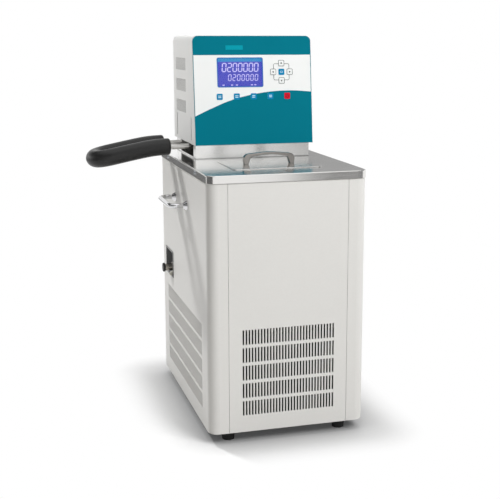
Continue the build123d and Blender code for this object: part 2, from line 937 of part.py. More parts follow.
def cooling_coil():
    """Flat serpentine at the tank's right wall, its two ends led through the neck and down behind the tank."""
    low = tank_floor + rod_foot
    over = plate_top + rod_top
    end = deck_z - line_end
    points = [(coil_x, line_y, end), (coil_x, line_y, over)]
    points += [(coil_x, coil_rise, over), (coil_x, coil_rise, low)]
    for row in range(coil_rows):
        z = low + row * coil_pitch
        ends = (coil_front, coil_back) if row % 2 else (coil_back, coil_front)
        if row:
            points.append((coil_x, ends[0], z))
        points.append((coil_x, ends[1], z))
    points += [(coil_x, coil_back, over), (line_x, coil_back, over)]
    points += [(line_x, line_y, over), (line_x, line_y, end)]
    return tube(points, coil_bend, rod_r)


def temperature_probe():
    rod = drum(probe_r, probe_x, probe_y, plate_top - probe_l, plate_top)
    return rod + drum(2 * probe_r, probe_x, probe_y, plate_top, plate_top + rod_top)


# Refrigeration set

def compressor():
    """Hermetic shell with domed ends on a foot plate."""
    z0 = pan_top + grommet_h
    shell = drum(comp_r, comp_x, comp_y, z0 + comp_plate, z0 + comp_h)
    shell = fillet(shell.edges().filter_by(GeomType.CIRCLE), comp_edge)
    width = 2 * (comp_foot_x + comp_plate_rim)
    depth = 2 * (comp_foot_y + comp_plate_rim)
    plate = extrude(RectangleRounded(width, depth, comp_plate_rim), comp_plate)
    return shell + Pos(comp_x, comp_y, z0) * plate


def compressor_grommets():
    grommets = []
    for x in (-comp_foot_x, comp_foot_x):
        for y in (-comp_foot_y, comp_foot_y):
            grommets.append(drum(grommet_r, comp_x + x, comp_y + y, pan_top, pan_top + grommet_h))
    return Compound(children=grommets)


def cond_y():
    """Front and rear faces of the condenser."""
    front = -back_y + sheet + flange_w + cond_front
    return front, front + cond_d


def condenser():
    """Fin block: upright fins front and rear of a core, between two headers."""
    front, rear = cond_y()
    half = cond_w / 2
    core = block(-half, half, front, rear, pan_top, pan_top + cond_h)
    pitch = (cond_w - 2 * header_w + fin_t) / fin_count
    side = (cond_d - fin_core) / 2
    tools = []
    for index in range(fin_count):
        x = -half + header_w + index * pitch
        for y0 in (front, rear - side):
            tools.append(block(x, x + pitch - fin_t, y0, y0 + side, pan_top + fin_t, pan_top + cond_h - fin_t))
    return core - tools


def fan_z():
    return pan_top + cond_h / 2


def fan_shroud():
    """Tray behind the condenser with a round opening, and side flanges for the motor strap."""
    half = shroud_w / 2
    y0 = cond_y()[1]
    top = pan_top + cond_h
    tray = block(-half, half, y0, y0 + shroud_depth, pan_top, top)
    tray -= block(-half + shroud_t, half - shroud_t, y0 + shroud_t, y0 + shroud_depth, pan_top + shroud_t, top)
    strap = block(-half + shroud_t, half - shroud_t, y0 + shroud_depth - strap_t, y0 + shroud_depth,
                  fan_z() - strap_h / 2, fan_z() + strap_h / 2)
    hole = rod_y(fan_r + fan_tip, 0, y0 - punch, y0 + shroud_t + punch, fan_z())
    return tray + strap - hole - rod_y(shaft_r + fan_gap, 0, y0, y0 + shroud_depth + punch, fan_z())


def fan_motor():
    y0 = cond_y()[1] + shroud_depth
    body = rod_y(fan_motor_r, 0, y0, y0 + fan_motor_l, fan_z())
    body = fillet(body.edges(), edge_r)
    return body - rod_y(shaft_r + run_fit, 0, y0, y0 + fan_motor_l / 2, fan_z())


def fan():
    """Axial fan on its shaft: pitched blades round a hub."""
    y0 = cond_y()[1] + shroud_t + fan_gap
    hub = rod_y(fan_hub_r, 0, y0, y0 + fan_depth, fan_z())
    hub += rod_y(shaft_r, 0, y0 + fan_depth, cond_y()[1] + shroud_depth + fan_motor_l / 2 - punch, fan_z())
    length = fan_r - fan_hub_r + fan_tip
    for index in range(fan_blades_n):
        blade = Pos(0, 0, fan_r - length / 2) * Rot(0, 0, fan_pitch) * Box(fan_chord, fan_blade_t, length)
        place = Pos(0, y0 + fan_depth / 2, fan_z()) * Rot(0, index * 360 / fan_blades_n, 0)
        hub += place * blade
    reach = rod_y(fan_r, 0, y0, y0 + 2 * shroud_depth + fan_motor_l, fan_z())
    return hub & reach


def filter_drier():
    body = drum(drier_r, drier_x, drier_y, drier_z, drier_z + drier_l)
    return fillet(body.edges(), drier_r / 2)


def suction_line():
    top = pan_top + grommet_h + comp_h
    x = comp_x + suction_x
    y = comp_y + suction_y
    over = top + suction_rise
    points = [(line_x, line_y, deck_z - line_end), (line_x, line_y, over), (x, y, over), (x, y, top)]
    return tube(points, line_bend, line_r)


def capillary_line():
    join = deck_z - line_end
    high = join - capillary_drop
    points = [(coil_x, line_y, join), (coil_x, line_y, high), (drier_x, drier_y, high),
              (drier_x, drier_y, drier_z + drier_l)]
    return tube(points, line_bend, line_r)


def condenser_line():
    low = pan_top + run_low
    rear = cond_y()[1]
    stub_x = -cond_w / 2 + stub_inset
    points = [(drier_x, drier_y, drier_z), (drier_x, drier_y, low), (run_x, drier_y, low),
              (run_x, rear + 2 * line_bend, low), (stub_x, rear + 2 * line_bend, low), (stub_x, rear, low)]
    return tube(points, stub_bend, line_r)


def discharge_line():
    top = pan_top + grommet_h + comp_h
    x = comp_x + discharge_x
    y = comp_y + discharge_y
    over = top + discharge_rise
    cond_mid = sum(cond_y()) / 2
    points = [(x, y, top), (x, y, over), (x, cond_mid, over), (x, cond_mid, pan_top + cond_h)]
    return tube(points, line_bend, line_r)


# Drain

def drain_recess():
    """Pressed cup let into the left side, with a narrow rim outside the panel."""
    face = -side_x
    half_w = recess_w / 2
    half_h = recess_h / 2
    cup = block(face, face + recess_depth, drain_y - half_w, drain_y + half_w,
                recess_z - half_h, recess_z + half_h)
    rim = block(face - recess_t, face, drain_y - half_w - recess_rim, drain_y + half_w + recess_rim,
                recess_z - half_h - recess_rim, recess_z + half_h + recess_rim)
    hollow = block(face - recess_t, face + recess_depth - recess_t, drain_y - half_w + recess_t,
                   drain_y + half_w - recess_t, recess_z - half_h + recess_t, recess_z + half_h - recess_t)
    return cup + rim - hollow - rod_x(pipe_r + fit, face, face + 2 * recess_depth, drain_y, drain_z)


def drain_pipe():
    """From the tank's floor down and across to the valve."""
    back = -side_x + recess_depth - recess_t
    points = [(drain_x, drain_hole_y, tank_floor - tank_t), (drain_x, drain_hole_y, drain_z),
              (drain_x, drain_y, drain_z), (back, drain_y, drain_z)]
    return tube(points, return_bend, pipe_r, pipe_r - pipe_wall)


def drain_valve():
    """Quarter-turn angle valve: nut at the recess's back, round body, outlet boss towards the front."""
    back = -side_x + recess_depth - recess_t
    nut = Pos(back, drain_y, drain_z) * Rot(0, -90, 0) * extrude(RegularPolygon(valve_r + punch, 6), valve_nut)
    body = rod_x(valve_r, back - valve_nut, back - valve_l, drain_y, drain_z)
    boss = rod_y(spout_r + boss_wall, spout_x(), drain_y - valve_r - boss_l, drain_y, drain_z - boss_drop)
    front = back - valve_l
    gland = rod_x(gland_r, front, front - gland_l, drain_y, drain_z)
    bore = rod_x(stem_r + run_fit, front + stem_in + punch, front - gland_l - punch, drain_y, drain_z)
    return nut + body + boss + gland - bore


def spout_x():
    return -side_x + recess_depth - recess_t - valve_l + boss_in


def drain_spout():
    """White hose tail from the boss, turned outward over the recess's lower edge."""
    y = drain_y - valve_r - boss_l
    z = drain_z - boss_drop
    start = (spout_x(), y, z)
    corner = (spout_x(), y - spout_run, z)
    end = (-side_x - spout_out, y - spout_run - spout_side, z - spout_drop)
    return tube([start, corner, end], spout_bend, spout_r, spout_r - spout_wall)


def drain_knob():
    """Fluted round knob and its stem, turned about the valve's axis."""
    back = -side_x + recess_depth - recess_t
    inner = back - valve_l + stem_in
    low = back - valve_l - gland_l - stem_out
    disc = rod_x(knob_r, low, low - knob_t, drain_y, drain_z)
    disc = chamfer(disc.faces().sort_by(Axis.X)[0].edges(), punch)
    for index in range(knob_flutes):
        turn = math.radians(index * 360 / knob_flutes)
        y = drain_y + knob_r * math.cos(turn)
        disc -= rod_x(flute_r, low + punch, low - 2 * knob_t, y, drain_z + knob_r * math.sin(turn))
    return disc + rod_x(stem_r, inner, low, drain_y, drain_z)


# Handles

def bow_handle(side):
    """Chrome bow handle: round bar with two flared feet."""
    face = side * side_x
    out = side * (side_x + bow_reach)
    y0, y1 = bow_ys()
    bar = tube([(face, y0, bow_z), (out, y0, bow_z), (out, y1, bow_z), (face, y1, bow_z)], bow_bend, bow_r)
    for y in (y0, y1):
        foot_cone = Cone(bow_foot_r, bow_r, bow_foot_l)
        bar += Pos(face + side * bow_foot_l / 2, y, bow_z) * Rot(0, side * 90, 0) * foot_cone
    return bar - [rod_x(foot_screw_r + screw_fit, face, face + side * bow_screw_l, y, bow_z) for y in (y0, y1)]


def handle_screws():
    """Screws from inside the cabinet out into the bow handles."""
    screws = []
    for side in (-1, 1):
        inner = side * (side_x - sheet)
        for y in bow_ys():
            shank = rod_x(foot_screw_r, inner, side * (side_x + bow_screw_l - punch), y, bow_z)
            screws.append(shank + rod_x(2 * foot_screw_r, inner - side * 2 * screw_head_h, inner, y, bow_z))
    return Compound(children=screws)


# Power inlet

def power_inlet():
    """Flanged appliance inlet with three flat pins in its well."""
    half_w = inlet_w / 2
    half_h = inlet_h / 2
    rim = block(inlet_x - half_w - inlet_rim, inlet_x + half_w + inlet_rim, back_y, back_y + inlet_flange,
                inlet_z - half_h - inlet_wall, inlet_z + half_h + inlet_wall)
    body = block(inlet_x - half_w, inlet_x + half_w, back_y - inlet_deep, back_y,
                 inlet_z - half_h, inlet_z + half_h)
    well = block(inlet_x - half_w + inlet_wall, inlet_x + half_w - inlet_wall, back_y - inlet_deep + inlet_back,
                 back_y + inlet_flange, inlet_z - half_h + inlet_wall, inlet_z + half_h - inlet_wall)
    shell = rim + body - well
    for dx, dz in pin_spots:
        x = inlet_x + dx
        z = inlet_z + dz
        shell += block(x - pin_half_w, x + pin_half_w, back_y - inlet_deep + inlet_back, back_y - inlet_back,
                       z - pin_half_h, z + pin_half_h)
    return shell


def build():
    """Write every piece to its own file."""
    os.makedirs("parts", exist_ok=True)
    pieces = [
        left_side_panel, front_panel, rear_panel, base_pan, foot_screws, deck, deck_screws, bath_tank,
        tank_insulation, lid, lid_handle, lid_handle_screws, neck_skirt, head_hood, head_base, control_fascia,
        keypad_overlay, display_window, display_module, control_board, relay_box, pump_plate, pump_motor,
        pump_column, pump_housing, pump_shaft, pump_impeller, outlet_pipe, return_pipe, hose, immersion_heater,
        cooling_coil, temperature_probe, compressor, compressor_grommets, condenser, fan_shroud, fan_motor, fan,
        filter_drier, suction_line, capillary_line, condenser_line, discharge_line, drain_recess, drain_pipe,
        drain_valve, drain_spout, drain_knob, handle_screws, power_inlet,
    ]
    for piece in pieces:
        write(piece.__name__, piece())
    write("right_side_panel", side_panel(1))
    write("left_handle", bow_handle(-1))
    write("right_handle", bow_handle(1))
    names = ("front_left_foot", "front_right_foot", "rear_left_foot", "rear_right_foot")
    for name, (x, y) in zip(names, foot_places()):
        write(name, foot(x, y))


build()
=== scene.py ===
"""Looks of a heated circulating bath: painted cabinet, stainless deck, control head and insulated hose."""

import logging
import math
from collections.abc import Iterable, Sequence
from dataclasses import dataclass, field, replace
from enum import Enum

import bmesh
import bpy
from mathutils import Matrix, Vector


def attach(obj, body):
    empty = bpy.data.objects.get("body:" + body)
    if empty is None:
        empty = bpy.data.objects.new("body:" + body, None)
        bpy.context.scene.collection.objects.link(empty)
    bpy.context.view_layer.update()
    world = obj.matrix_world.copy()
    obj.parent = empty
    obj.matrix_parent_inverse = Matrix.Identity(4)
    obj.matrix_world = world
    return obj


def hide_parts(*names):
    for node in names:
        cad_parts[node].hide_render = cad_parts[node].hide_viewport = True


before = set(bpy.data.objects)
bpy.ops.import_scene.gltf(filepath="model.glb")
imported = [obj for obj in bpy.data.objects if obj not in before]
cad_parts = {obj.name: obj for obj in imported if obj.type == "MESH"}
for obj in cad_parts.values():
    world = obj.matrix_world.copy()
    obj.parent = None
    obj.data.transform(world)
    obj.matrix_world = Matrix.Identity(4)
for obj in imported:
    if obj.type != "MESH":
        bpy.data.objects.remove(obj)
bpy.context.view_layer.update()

LOG = logging.getLogger("bath")
MM = 0.001
CABINET = "cabinet"
# Edges flatter than this are shaded smooth.
SMOOTH_DEG = 35.0
# Printed ink and thin display layers are drawn thicker than the real hundredths of a millimetre, to show.
INK_MM = 0.12


class Grain(Enum):
    """How a surface was made, which sets its fine pattern."""

    PEEL = "peel"
    BRUSHED = "brushed"
    POLISHED = "polished"
    SPANGLE = "spangle"
    MOULDED = "moulded"
    CELLS = "cells"


def linear(code: str) -> tuple[float, float, float, float]:
    """Turn an sRGB hex colour to linear values.

    Args:
        code: Colour as "#RRGGBB".

    Returns:
        Linear red, green and blue, with an alpha of 1.
    """
    parts = [int(code[start:start + 2], 16) / 255 for start in (1, 3, 5)]
    red, green, blue = (v / 12.92 if v <= 0.04045 else ((v + 0.055) / 1.055) ** 2.4 for v in parts)
    return red, green, blue, 1.0


WHITE = linear("#FFFFFF")


def add_node(tree: bpy.types.NodeTree, kind: str, inputs: dict | None = None, **settings) -> bpy.types.Node:
    """Add one node with its settings, values and links.

    Args:
        tree: Node tree that gets the node.
        kind: Blender's name of the node type.
        inputs: Value or source socket for each named or numbered input.
        **settings: Properties of the node.

    Returns:
        The new node.
    """
    node = tree.nodes.new(kind)
    for name, value in settings.items():
        setattr(node, name, value)
    for key, value in (inputs or {}).items():
        if isinstance(value, bpy.types.NodeSocket):
            tree.links.new(value, node.inputs[key])
        else:
            node.inputs[key].default_value = value
    return node


def add_object(name: str, data: bpy.types.ID) -> bpy.types.Object:
    """Put new data in the scene.

    Args:
        name: Name of the object.
        data: Mesh, curve, lamp or camera data.

    Returns:
        The new object.
    """
    made = bpy.data.objects.new(name, data)
    bpy.context.scene.collection.objects.link(made)
    return made


def to_mesh(name: str, shape: bmesh.types.BMesh) -> bpy.types.Mesh:
    """Turn a bmesh into a mesh and free it.

    Args:
        name: Name of the mesh.
        shape: The bmesh.

    Returns:
        The mesh.
    """
    mesh = bpy.data.meshes.new(name)
    shape.to_mesh(mesh)
    shape.free()
    return mesh


def bare_material(name: str) -> bpy.types.Material:
    """Make a material whose node tree is still empty.

    Args:
        name: Name of the material.

    Returns:
        The material.
    """
    material = bpy.data.materials.new(name)
    material.use_nodes = True
    material.node_tree.nodes.clear()
    return material


@dataclass(frozen=True)
class Finish:
    """One real surface: its colour, its gloss and the fine pattern that its making leaves, plus, where
    crevice_mm is set, painted shade in its slots and seams.
    """

    name: str
    slot: str
    tone: str
    shade: str
    grain: Grain
    grain_mm: float
    relief_mm: float
    roughness: float
    spread: float = 0.04
    metallic: float = 0.0
    ior: float = 1.5
    mottle_mm: float = 90.0
    stretch: tuple[float, float, float] = (1.0, 1.0, 1.0)
    coat: float = 0.0
    coat_roughness: float = 0.08
    specular: float = 0.5
    # Painted shade: within crevice_mm, ambient occlusion darkens the colour down to the share crevice.
    crevice_mm: float = 0.0
    crevice: float = 0.3
    crevice_span: tuple[float, float] = (0.35, 0.85)
    ramp_span: tuple[float, float] = (0.3, 0.7)
    rough_span: tuple[float, float] = (0.25, 0.75)

    def make(self) -> bpy.types.Material:
        """Make the material once and share it after that.

        Returns:
            The material.
        """
        known = bpy.data.materials.get(self.name)
        if known:
            return known
        material = bpy.data.materials.new(self.name)
        material.use_nodes = True
        tree = material.node_tree
        shader = tree.nodes["Principled BSDF"]
        shader.inputs["Metallic"].default_value = self.metallic
        if not self.metallic:
            shader.inputs["IOR"].default_value = self.ior
            shader.inputs["Specular IOR Level"].default_value = self.specular
        if self.coat:
            shader.inputs["Coat Weight"].default_value = self.coat
            shader.inputs["Coat Roughness"].default_value = self.coat_roughness
        place = add_node(tree, "ShaderNodeTexCoord").outputs["Object"]
        mottle = add_node(tree, "ShaderNodeTexNoise",
                          {"Vector": place, "Scale": 1 / (self.mottle_mm * MM), "Detail": 4.0})
        fine = self.pattern(tree, place)
        both = add_node(tree, "ShaderNodeMath", {0: mottle.outputs["Fac"], 1: fine}, operation="ADD")
        half = add_node(tree, "ShaderNodeMath", {0: both.outputs[0], 1: 0.5}, operation="MULTIPLY")
        ramp = add_node(tree, "ShaderNodeValToRGB", {"Fac": half.outputs[0]})
        for stop, position, code in zip(ramp.color_ramp.elements, self.ramp_span, (self.shade, self.tone)):
            stop.position = position
            stop.color = linear(code)
        tree.links.new(self.painted_crevice_shade(tree, ramp.outputs["Color"]), shader.inputs["Base Color"])
        rough = add_node(tree, "ShaderNodeMapRange", {
            "Value": half.outputs[0], "From Min": self.rough_span[0], "From Max": self.rough_span[1],
            "To Min": self.roughness - self.spread, "To Max": self.roughness + self.spread})
        tree.links.new(rough.outputs["Result"], shader.inputs["Roughness"])
        if self.relief_mm:
            bump = add_node(tree, "ShaderNodeBump", {"Height": fine, "Strength": 1.0,
                                                     "Distance": self.relief_mm * MM})
            tree.links.new(bump.outputs["Normal"], shader.inputs["Normal"])
        return material

    def painted_crevice_shade(self, tree: bpy.types.NodeTree, colour: bpy.types.NodeSocket) -> bpy.types.NodeSocket:
        """Paint shade into narrow slots and seams: ambient occlusion darkens the colour where little light
        falls.

        Args:
            tree: Node tree of the material.
            colour: Colour of the open surface.

        Returns:
            The colour to use.
        """
        if not self.crevice_mm:
            return colour
        near = add_node(tree, "ShaderNodeAmbientOcclusion", {"Distance": self.crevice_mm * MM}, samples=8)
        level = add_node(tree, "ShaderNodeMapRange", {
            "Value": near.outputs["AO"], "From Min": self.crevice_span[0], "From Max": self.crevice_span[1],
            "To Min": self.crevice, "To Max": 1.0})
        mixed = add_node(tree, "ShaderNodeVectorMath", {0: colour, "Scale": level.outputs["Result"]},
                         operation="SCALE")
        return mixed.outputs["Vector"]

    def pattern(self, tree: bpy.types.NodeTree, place: bpy.types.NodeSocket) -> bpy.types.NodeSocket:
        """Add the fine pattern of this finish.

        Args:
            tree: Node tree of the material.
            place: Object coordinates.

        Returns:
            The pattern's value, about 0 to 1.
        """
        scale = 1 / (self.grain_mm * MM)
        if self.grain is Grain.SPANGLE:
            cells = add_node(tree, "ShaderNodeTexVoronoi", {"Vector": place, "Scale": scale})
            return add_node(tree, "ShaderNodeSeparateColor", {0: cells.outputs["Color"]}).outputs["Red"]
        if self.grain is Grain.CELLS:
            cells = add_node(tree, "ShaderNodeTexVoronoi", {"Vector": place, "Scale": scale},
                             feature="SMOOTH_F1")
            return cells.outputs["Distance"]
        detail = {Grain.PEEL: 1.0, Grain.BRUSHED: 3.0, Grain.POLISHED: 4.0, Grain.MOULDED: 2.0}[self.grain]
        along = add_node(tree, "ShaderNodeMapping", {"Vector": place, "Scale": self.stretch})
        noise = add_node(tree, "ShaderNodeTexNoise",
                         {"Vector": along.outputs["Vector"], "Scale": scale, "Detail": detail})
        return noise.outputs["Fac"]


def film_ink(name: str, tone: str, shade: str, specular: float, mottle_mm: float = 20.0,
             roughness: float = 0.40) -> Finish:
    """Describe one ink of the screen-printed polyester film, satin with a fine velvet texture.

    Args:
        name: Name of the material.
        tone: Its lighter colour.
        shade: Its darker colour.
        specular: Strength of its mirrored light.
        mottle_mm: Size of its uneven patches.
        roughness: Middle of its roughness.

    Returns:
        The finish.
    """
    return Finish(name, "teal_film", tone, shade, Grain.MOULDED, 0.8, 0.001, roughness, spread=0.02,
                  mottle_mm=mottle_mm, specular=specular)


# Polyester powder coat on steel: satin, with a soft orange peel, drawn coarser than the real 1 mm to show.
# Painted shade darkens its slots and seams.
POWDER_COAT = Finish("powder_coated_steel", "white_paint", "#E6E5E2", "#E3E2DF", Grain.PEEL, 3.5, 0.0015,
                     0.38, spread=0.03, mottle_mm=160, specular=0.35, crevice_mm=3.0, crevice=0.7)
# The same coat on the front, whose slots face the viewer; painted shade keeps them nearly black inside.
FRONT_COAT = replace(POWDER_COAT, name="powder_coated_front", crevice_mm=4.0, crevice=0.03)
# Inside of the drain recess: the same sheet, painted grey and darkened towards the back as painted shade
# inside the recess.
RECESS_COAT = replace(POWDER_COAT, name="powder_coated_recess", tone="#9C9D9E", shade="#8B8C8D",
                      roughness=0.45, mottle_mm=30, specular=0.3, crevice_mm=26.0, crevice=0.22)
# The same coat on the hood, a little cooler and smoother, with painted shade darkening its vents.
HOOD_COAT = replace(POWDER_COAT, name="powder_coated_hood", tone="#E0E0DE", shade="#DDDDDB", roughness=0.36,
                    mottle_mm=120, crevice_mm=5.0, crevice=0.12)
# Cold-rolled stainless deck and lid: satin brushed along the width, reflections soft but still readable. The
# brush lines of this and the next two are drawn coarser than the real 0.2 mm, to show.
# Painted shade darkens the seams of the deck and lid, such as along the foot of the neck.
DECK_STEEL = Finish("satin_stainless", "stainless", "#EDECEA", "#E5E4E1", Grain.BRUSHED, 1.4, 0.002, 0.15,
                    metallic=1.0, mottle_mm=80, stretch=(0.02, 1.0, 1.0), crevice_mm=3.0)
# Stainless neck with a fine brush along its length, rougher than the deck, so that it mirrors no shapes;
# painted shade darkens its foot.
BRUSHED_STEEL = replace(DECK_STEEL, name="brushed_stainless", tone="#FCFCFB", shade="#F8F8F7", grain_mm=1.6,
                        relief_mm=0.0004, roughness=0.26, spread=0.02, mottle_mm=110, crevice_mm=5.0,
                        crevice=0.12)
# Drawn stainless tube and tank: smooth, greyer, lines along the draw.
DRAWN_STEEL = Finish("drawn_stainless", "stainless", "#D2D1CE", "#BDBCB9", Grain.BRUSHED, 1.2, 0.002, 0.22,
                     spread=0.05, metallic=1.0, mottle_mm=60, stretch=(1.0, 1.0, 0.05))
# Bright chrome plate: mirror with the least unevenness.
CHROME = Finish("chrome_plate", "chrome", "#DEDEDF", "#D2D2D4", Grain.POLISHED, 9.0, 0.0, 0.08,
                spread=0.02, metallic=1.0, mottle_mm=40)
# Die-cast pull with a satin nickel finish: grey, soft highlights, slight casting unevenness, and painted
# shade in its crevices.
SATIN_NICKEL = Finish("satin_nickel_casting", "chrome", "#A9A6A2", "#979490", Grain.POLISHED, 3.0, 0.004,
                      0.22, spread=0.06, metallic=1.0, mottle_mm=16, crevice_mm=3.0, crevice=0.5)
# Zinc-plated screws: grey-bright with a slight blue cast.
ZINC_PLATE = Finish("zinc_plate", "zinc_screw", "#BEC1C4", "#9EA1A5", Grain.POLISHED, 1.5, 0.0, 0.28,
                    spread=0.08, metallic=1.0, mottle_mm=6)
# Galvanised sheet: flat grey crystals about 10 mm across.
GALVANISED = Finish("galvanised_sheet", "galvanised", "#B5B8BA", "#90959A", Grain.SPANGLE, 10.0, 0.0, 0.38,
                    spread=0.08, metallic=1.0, mottle_mm=40)
# Closed-cell nitrile foam: near black, matt, with a closed skin that takes a broad soft highlight. Its cells
# are drawn coarser than the real 0.5 mm.
NITRILE_FOAM = Finish("nitrile_foam", "foam_hose", "#262626", "#1D1D1D", Grain.CELLS, 2.6, 0.05, 0.38,
                      spread=0.05, mottle_mm=45, specular=0.36)
# Rigid polyurethane foam: dull straw yellow with open cells, also drawn coarse.
RIGID_FOAM = Finish("polyurethane_foam", "foam_jacket", "#D9C48E", "#C2A96F", Grain.CELLS, 5.0, 0.3, 0.85,
                    mottle_mm=40)
# White and teal cover most of the head's face: dull enough to stay one even colour under the soft boxes.
WHITE_FILM = film_ink("printed_film_white", "#F7F9F8", "#F4F6F5", 0.15, 60.0)
TEAL_FILM = film_ink("printed_film_teal", "#03798C", "#027588", 0.06, 60.0, 0.44)
AQUA_FILM = film_ink("printed_film_aqua", "#0A9FB2", "#0899AC", 0.06, 60.0)
# Inks of the keys, their marks and the display's frame: small flat fields with clean edges.
BLUE_FILM = film_ink("printed_film_blue", "#128ABC", "#0D84B6", 0.1)
RED_FILM = film_ink("printed_film_red", "#DE1632", "#D10F2B", 0.1)
GREY_FILM = film_ink("printed_film_grey", "#4E5557", "#484E50", 0.15)
FRAME_FILM = film_ink("printed_film_frame", "#4377BC", "#3F73B8", 0.1)
PALE_FILM = film_ink("printed_film_pale", "#CFEAF4", "#C6E4EF", 0.15)
DARK_RED_FILM = Finish("printed_film_dark_red", "teal_film", "#7A0F1D", "#700D1A", Grain.MOULDED, 0.8, 0.001,
                       0.3, mottle_mm=20)
# Injection-moulded ABS: spark-eroded grain, drawn coarser than the real 0.2 mm, semi-matt.
GREY_ABS = Finish("abs_grey", "grey_plastic", "#9A9D9F", "#909395", Grain.MOULDED, 0.9, 0.008, 0.5,
                  mottle_mm=50)
BLACK_ABS = Finish("abs_black", "black_plastic", "#1B1C1D", "#141516", Grain.MOULDED, 0.9, 0.008, 0.42,
                   mottle_mm=30)
# Glass-filled epoxy board under green solder resist: deep green with a thin clear gloss.
GREEN_BOARD = Finish("epoxy_board", "board", "#0E5B36", "#0A4C2C", Grain.MOULDED, 1.4, 0.004, 0.35,
                     mottle_mm=12, coat=0.4)
# Stove enamel on the compressor and the motors: black, glossy, slightly uneven.
BLACK_ENAMEL = Finish("stove_enamel_black", "black_shell", "#1A1A1C", "#121213", Grain.PEEL, 4.0, 0.01, 0.24,
                      mottle_mm=60, coat=0.3)
# Matt black paint of the condenser and the fan; the near-black tone is partly painted shade, which keeps what
# lies behind the slots dark.
BLACK_PAINT = Finish("condenser_black_paint", "fins", "#0E0E0F", "#080808", Grain.MOULDED, 1.5, 0.0, 0.75,
                     mottle_mm=40, specular=0.1)
# Natural rubber feet and grommets: dull black, bloomed grey in places.
RUBBER = Finish("natural_rubber", "black_rubber", "#252524", "#1A1A1A", Grain.MOULDED, 1.5, 0.02, 0.72,
                mottle_mm=14)
# Soft-drawn copper tube, browned in patches.
COPPER = Finish("copper_tube", "copper", "#C9794F", "#9A5636", Grain.POLISHED, 5.0, 0.0, 0.28,
                spread=0.08, metallic=1.0, mottle_mm=35)
# Nickel-plated brass of the drain valve and pipe: warm grey with a soft gloss.
NICKEL = Finish("nickel_plated_brass", "nickel", "#B3AEA6", "#96918A", Grain.POLISHED, 4.0, 0.0, 0.24,
                spread=0.06, metallic=1.0, mottle_mm=10)
# Natural nylon: milky white with a slight gloss.
NYLON = Finish("natural_nylon", "white_nylon", "#E4E1D8", "#DAD7CC", Grain.MOULDED, 1.0, 0.004, 0.38,
               mottle_mm=14)


@dataclass(frozen=True)
class ClearSheet:
    """Cast acrylic of the display window: clear, with a hard gloss.

    Its index is below the real 1.49, so that the soft boxes don't veil the figures behind it.
    """

    name: str = "cast_acrylic"
    slot: str = "clear_window"
    tone: str = "#F6FAFC"
    roughness: float = 0.03
    ior: float = 1.25

    def make(self) -> bpy.types.Material:
        """Make the clear material.

        Returns:
            The material.
        """
        material = bpy.data.materials.new(self.name)
        material.use_nodes = True
        shader = material.node_tree.nodes["Principled BSDF"]
        shader.inputs["Base Color"].default_value = linear(self.tone)
        shader.inputs["Roughness"].default_value = self.roughness
        shader.inputs["IOR"].default_value = self.ior
        shader.inputs["Transmission Weight"].default_value = 1.0
        return material


@dataclass(frozen=True)
class Backlight:
    """A backlit part of the display: its colours at two heights in metres and how strongly it shines."""

    name: str
    low: str
    high: str
    strength: float
    bottom: float
    top: float
    slot: str = "display"
    unlit: str = "#0A0A20"
    roughness: float = 0.4

    def make(self) -> bpy.types.Material:
        """Make the glowing material, shaded from its lower to its upper colour by height.

        Returns:
            The material.
        """
        material = bpy.data.materials.new(self.name)
        material.use_nodes = True
        tree = material.node_tree
        shader = tree.nodes["Principled BSDF"]
        place = add_node(tree, "ShaderNodeTexCoord").outputs["Object"]
        height = add_node(tree, "ShaderNodeSeparateXYZ", {0: place}).outputs["Z"]
        share = add_node(tree, "ShaderNodeMapRange", {"Value": height, "From Min": self.bottom,
                                                      "From Max": self.top})
        ramp = add_node(tree, "ShaderNodeValToRGB", {"Fac": share.outputs["Result"]})
        ramp.color_ramp.elements[0].color = linear(self.low)
        ramp.color_ramp.elements[1].color = linear(self.high)
        tree.links.new(ramp.outputs["Color"], shader.inputs["Emission Color"])
        shader.inputs["Base Color"].default_value = linear(self.unlit)
        shader.inputs["Roughness"].default_value = self.roughness
        shader.inputs["Emission Strength"].default_value = self.strength
        return material


def dress(finish: Finish | ClearSheet, nodes: Iterable[str]) -> None:
    """Give CAD nodes one finish.

    Args:
        finish: The finish.
        nodes: Names of the nodes.
    """
    material = finish.make()
    for name in nodes:
        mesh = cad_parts[name].data
        mesh.materials.clear()
        mesh.materials.append(material)


def make_piece(name: str, shape: bmesh.types.BMesh, finish: Finish | Backlight) -> bpy.types.Object:
    """Turn a finished bmesh, already in place, into a piece of the visual model that rides on the cabinet.

    Args:
        name: Name of the piece.
        shape: The mesh, in metres and in the shared frame; it is freed.
        finish: Its finish.

    Returns:
        The object.
    """
    bmesh.ops.recalc_face_normals(shape, faces=shape.faces)
    mesh = to_mesh(name, shape)
    mesh.shade_smooth()
    mesh.set_sharp_from_angle(angle=math.radians(SMOOTH_DEG))
    mesh.materials.append(finish.make())
    piece = add_object(name, mesh)
    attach(piece, CABINET)
    return piece


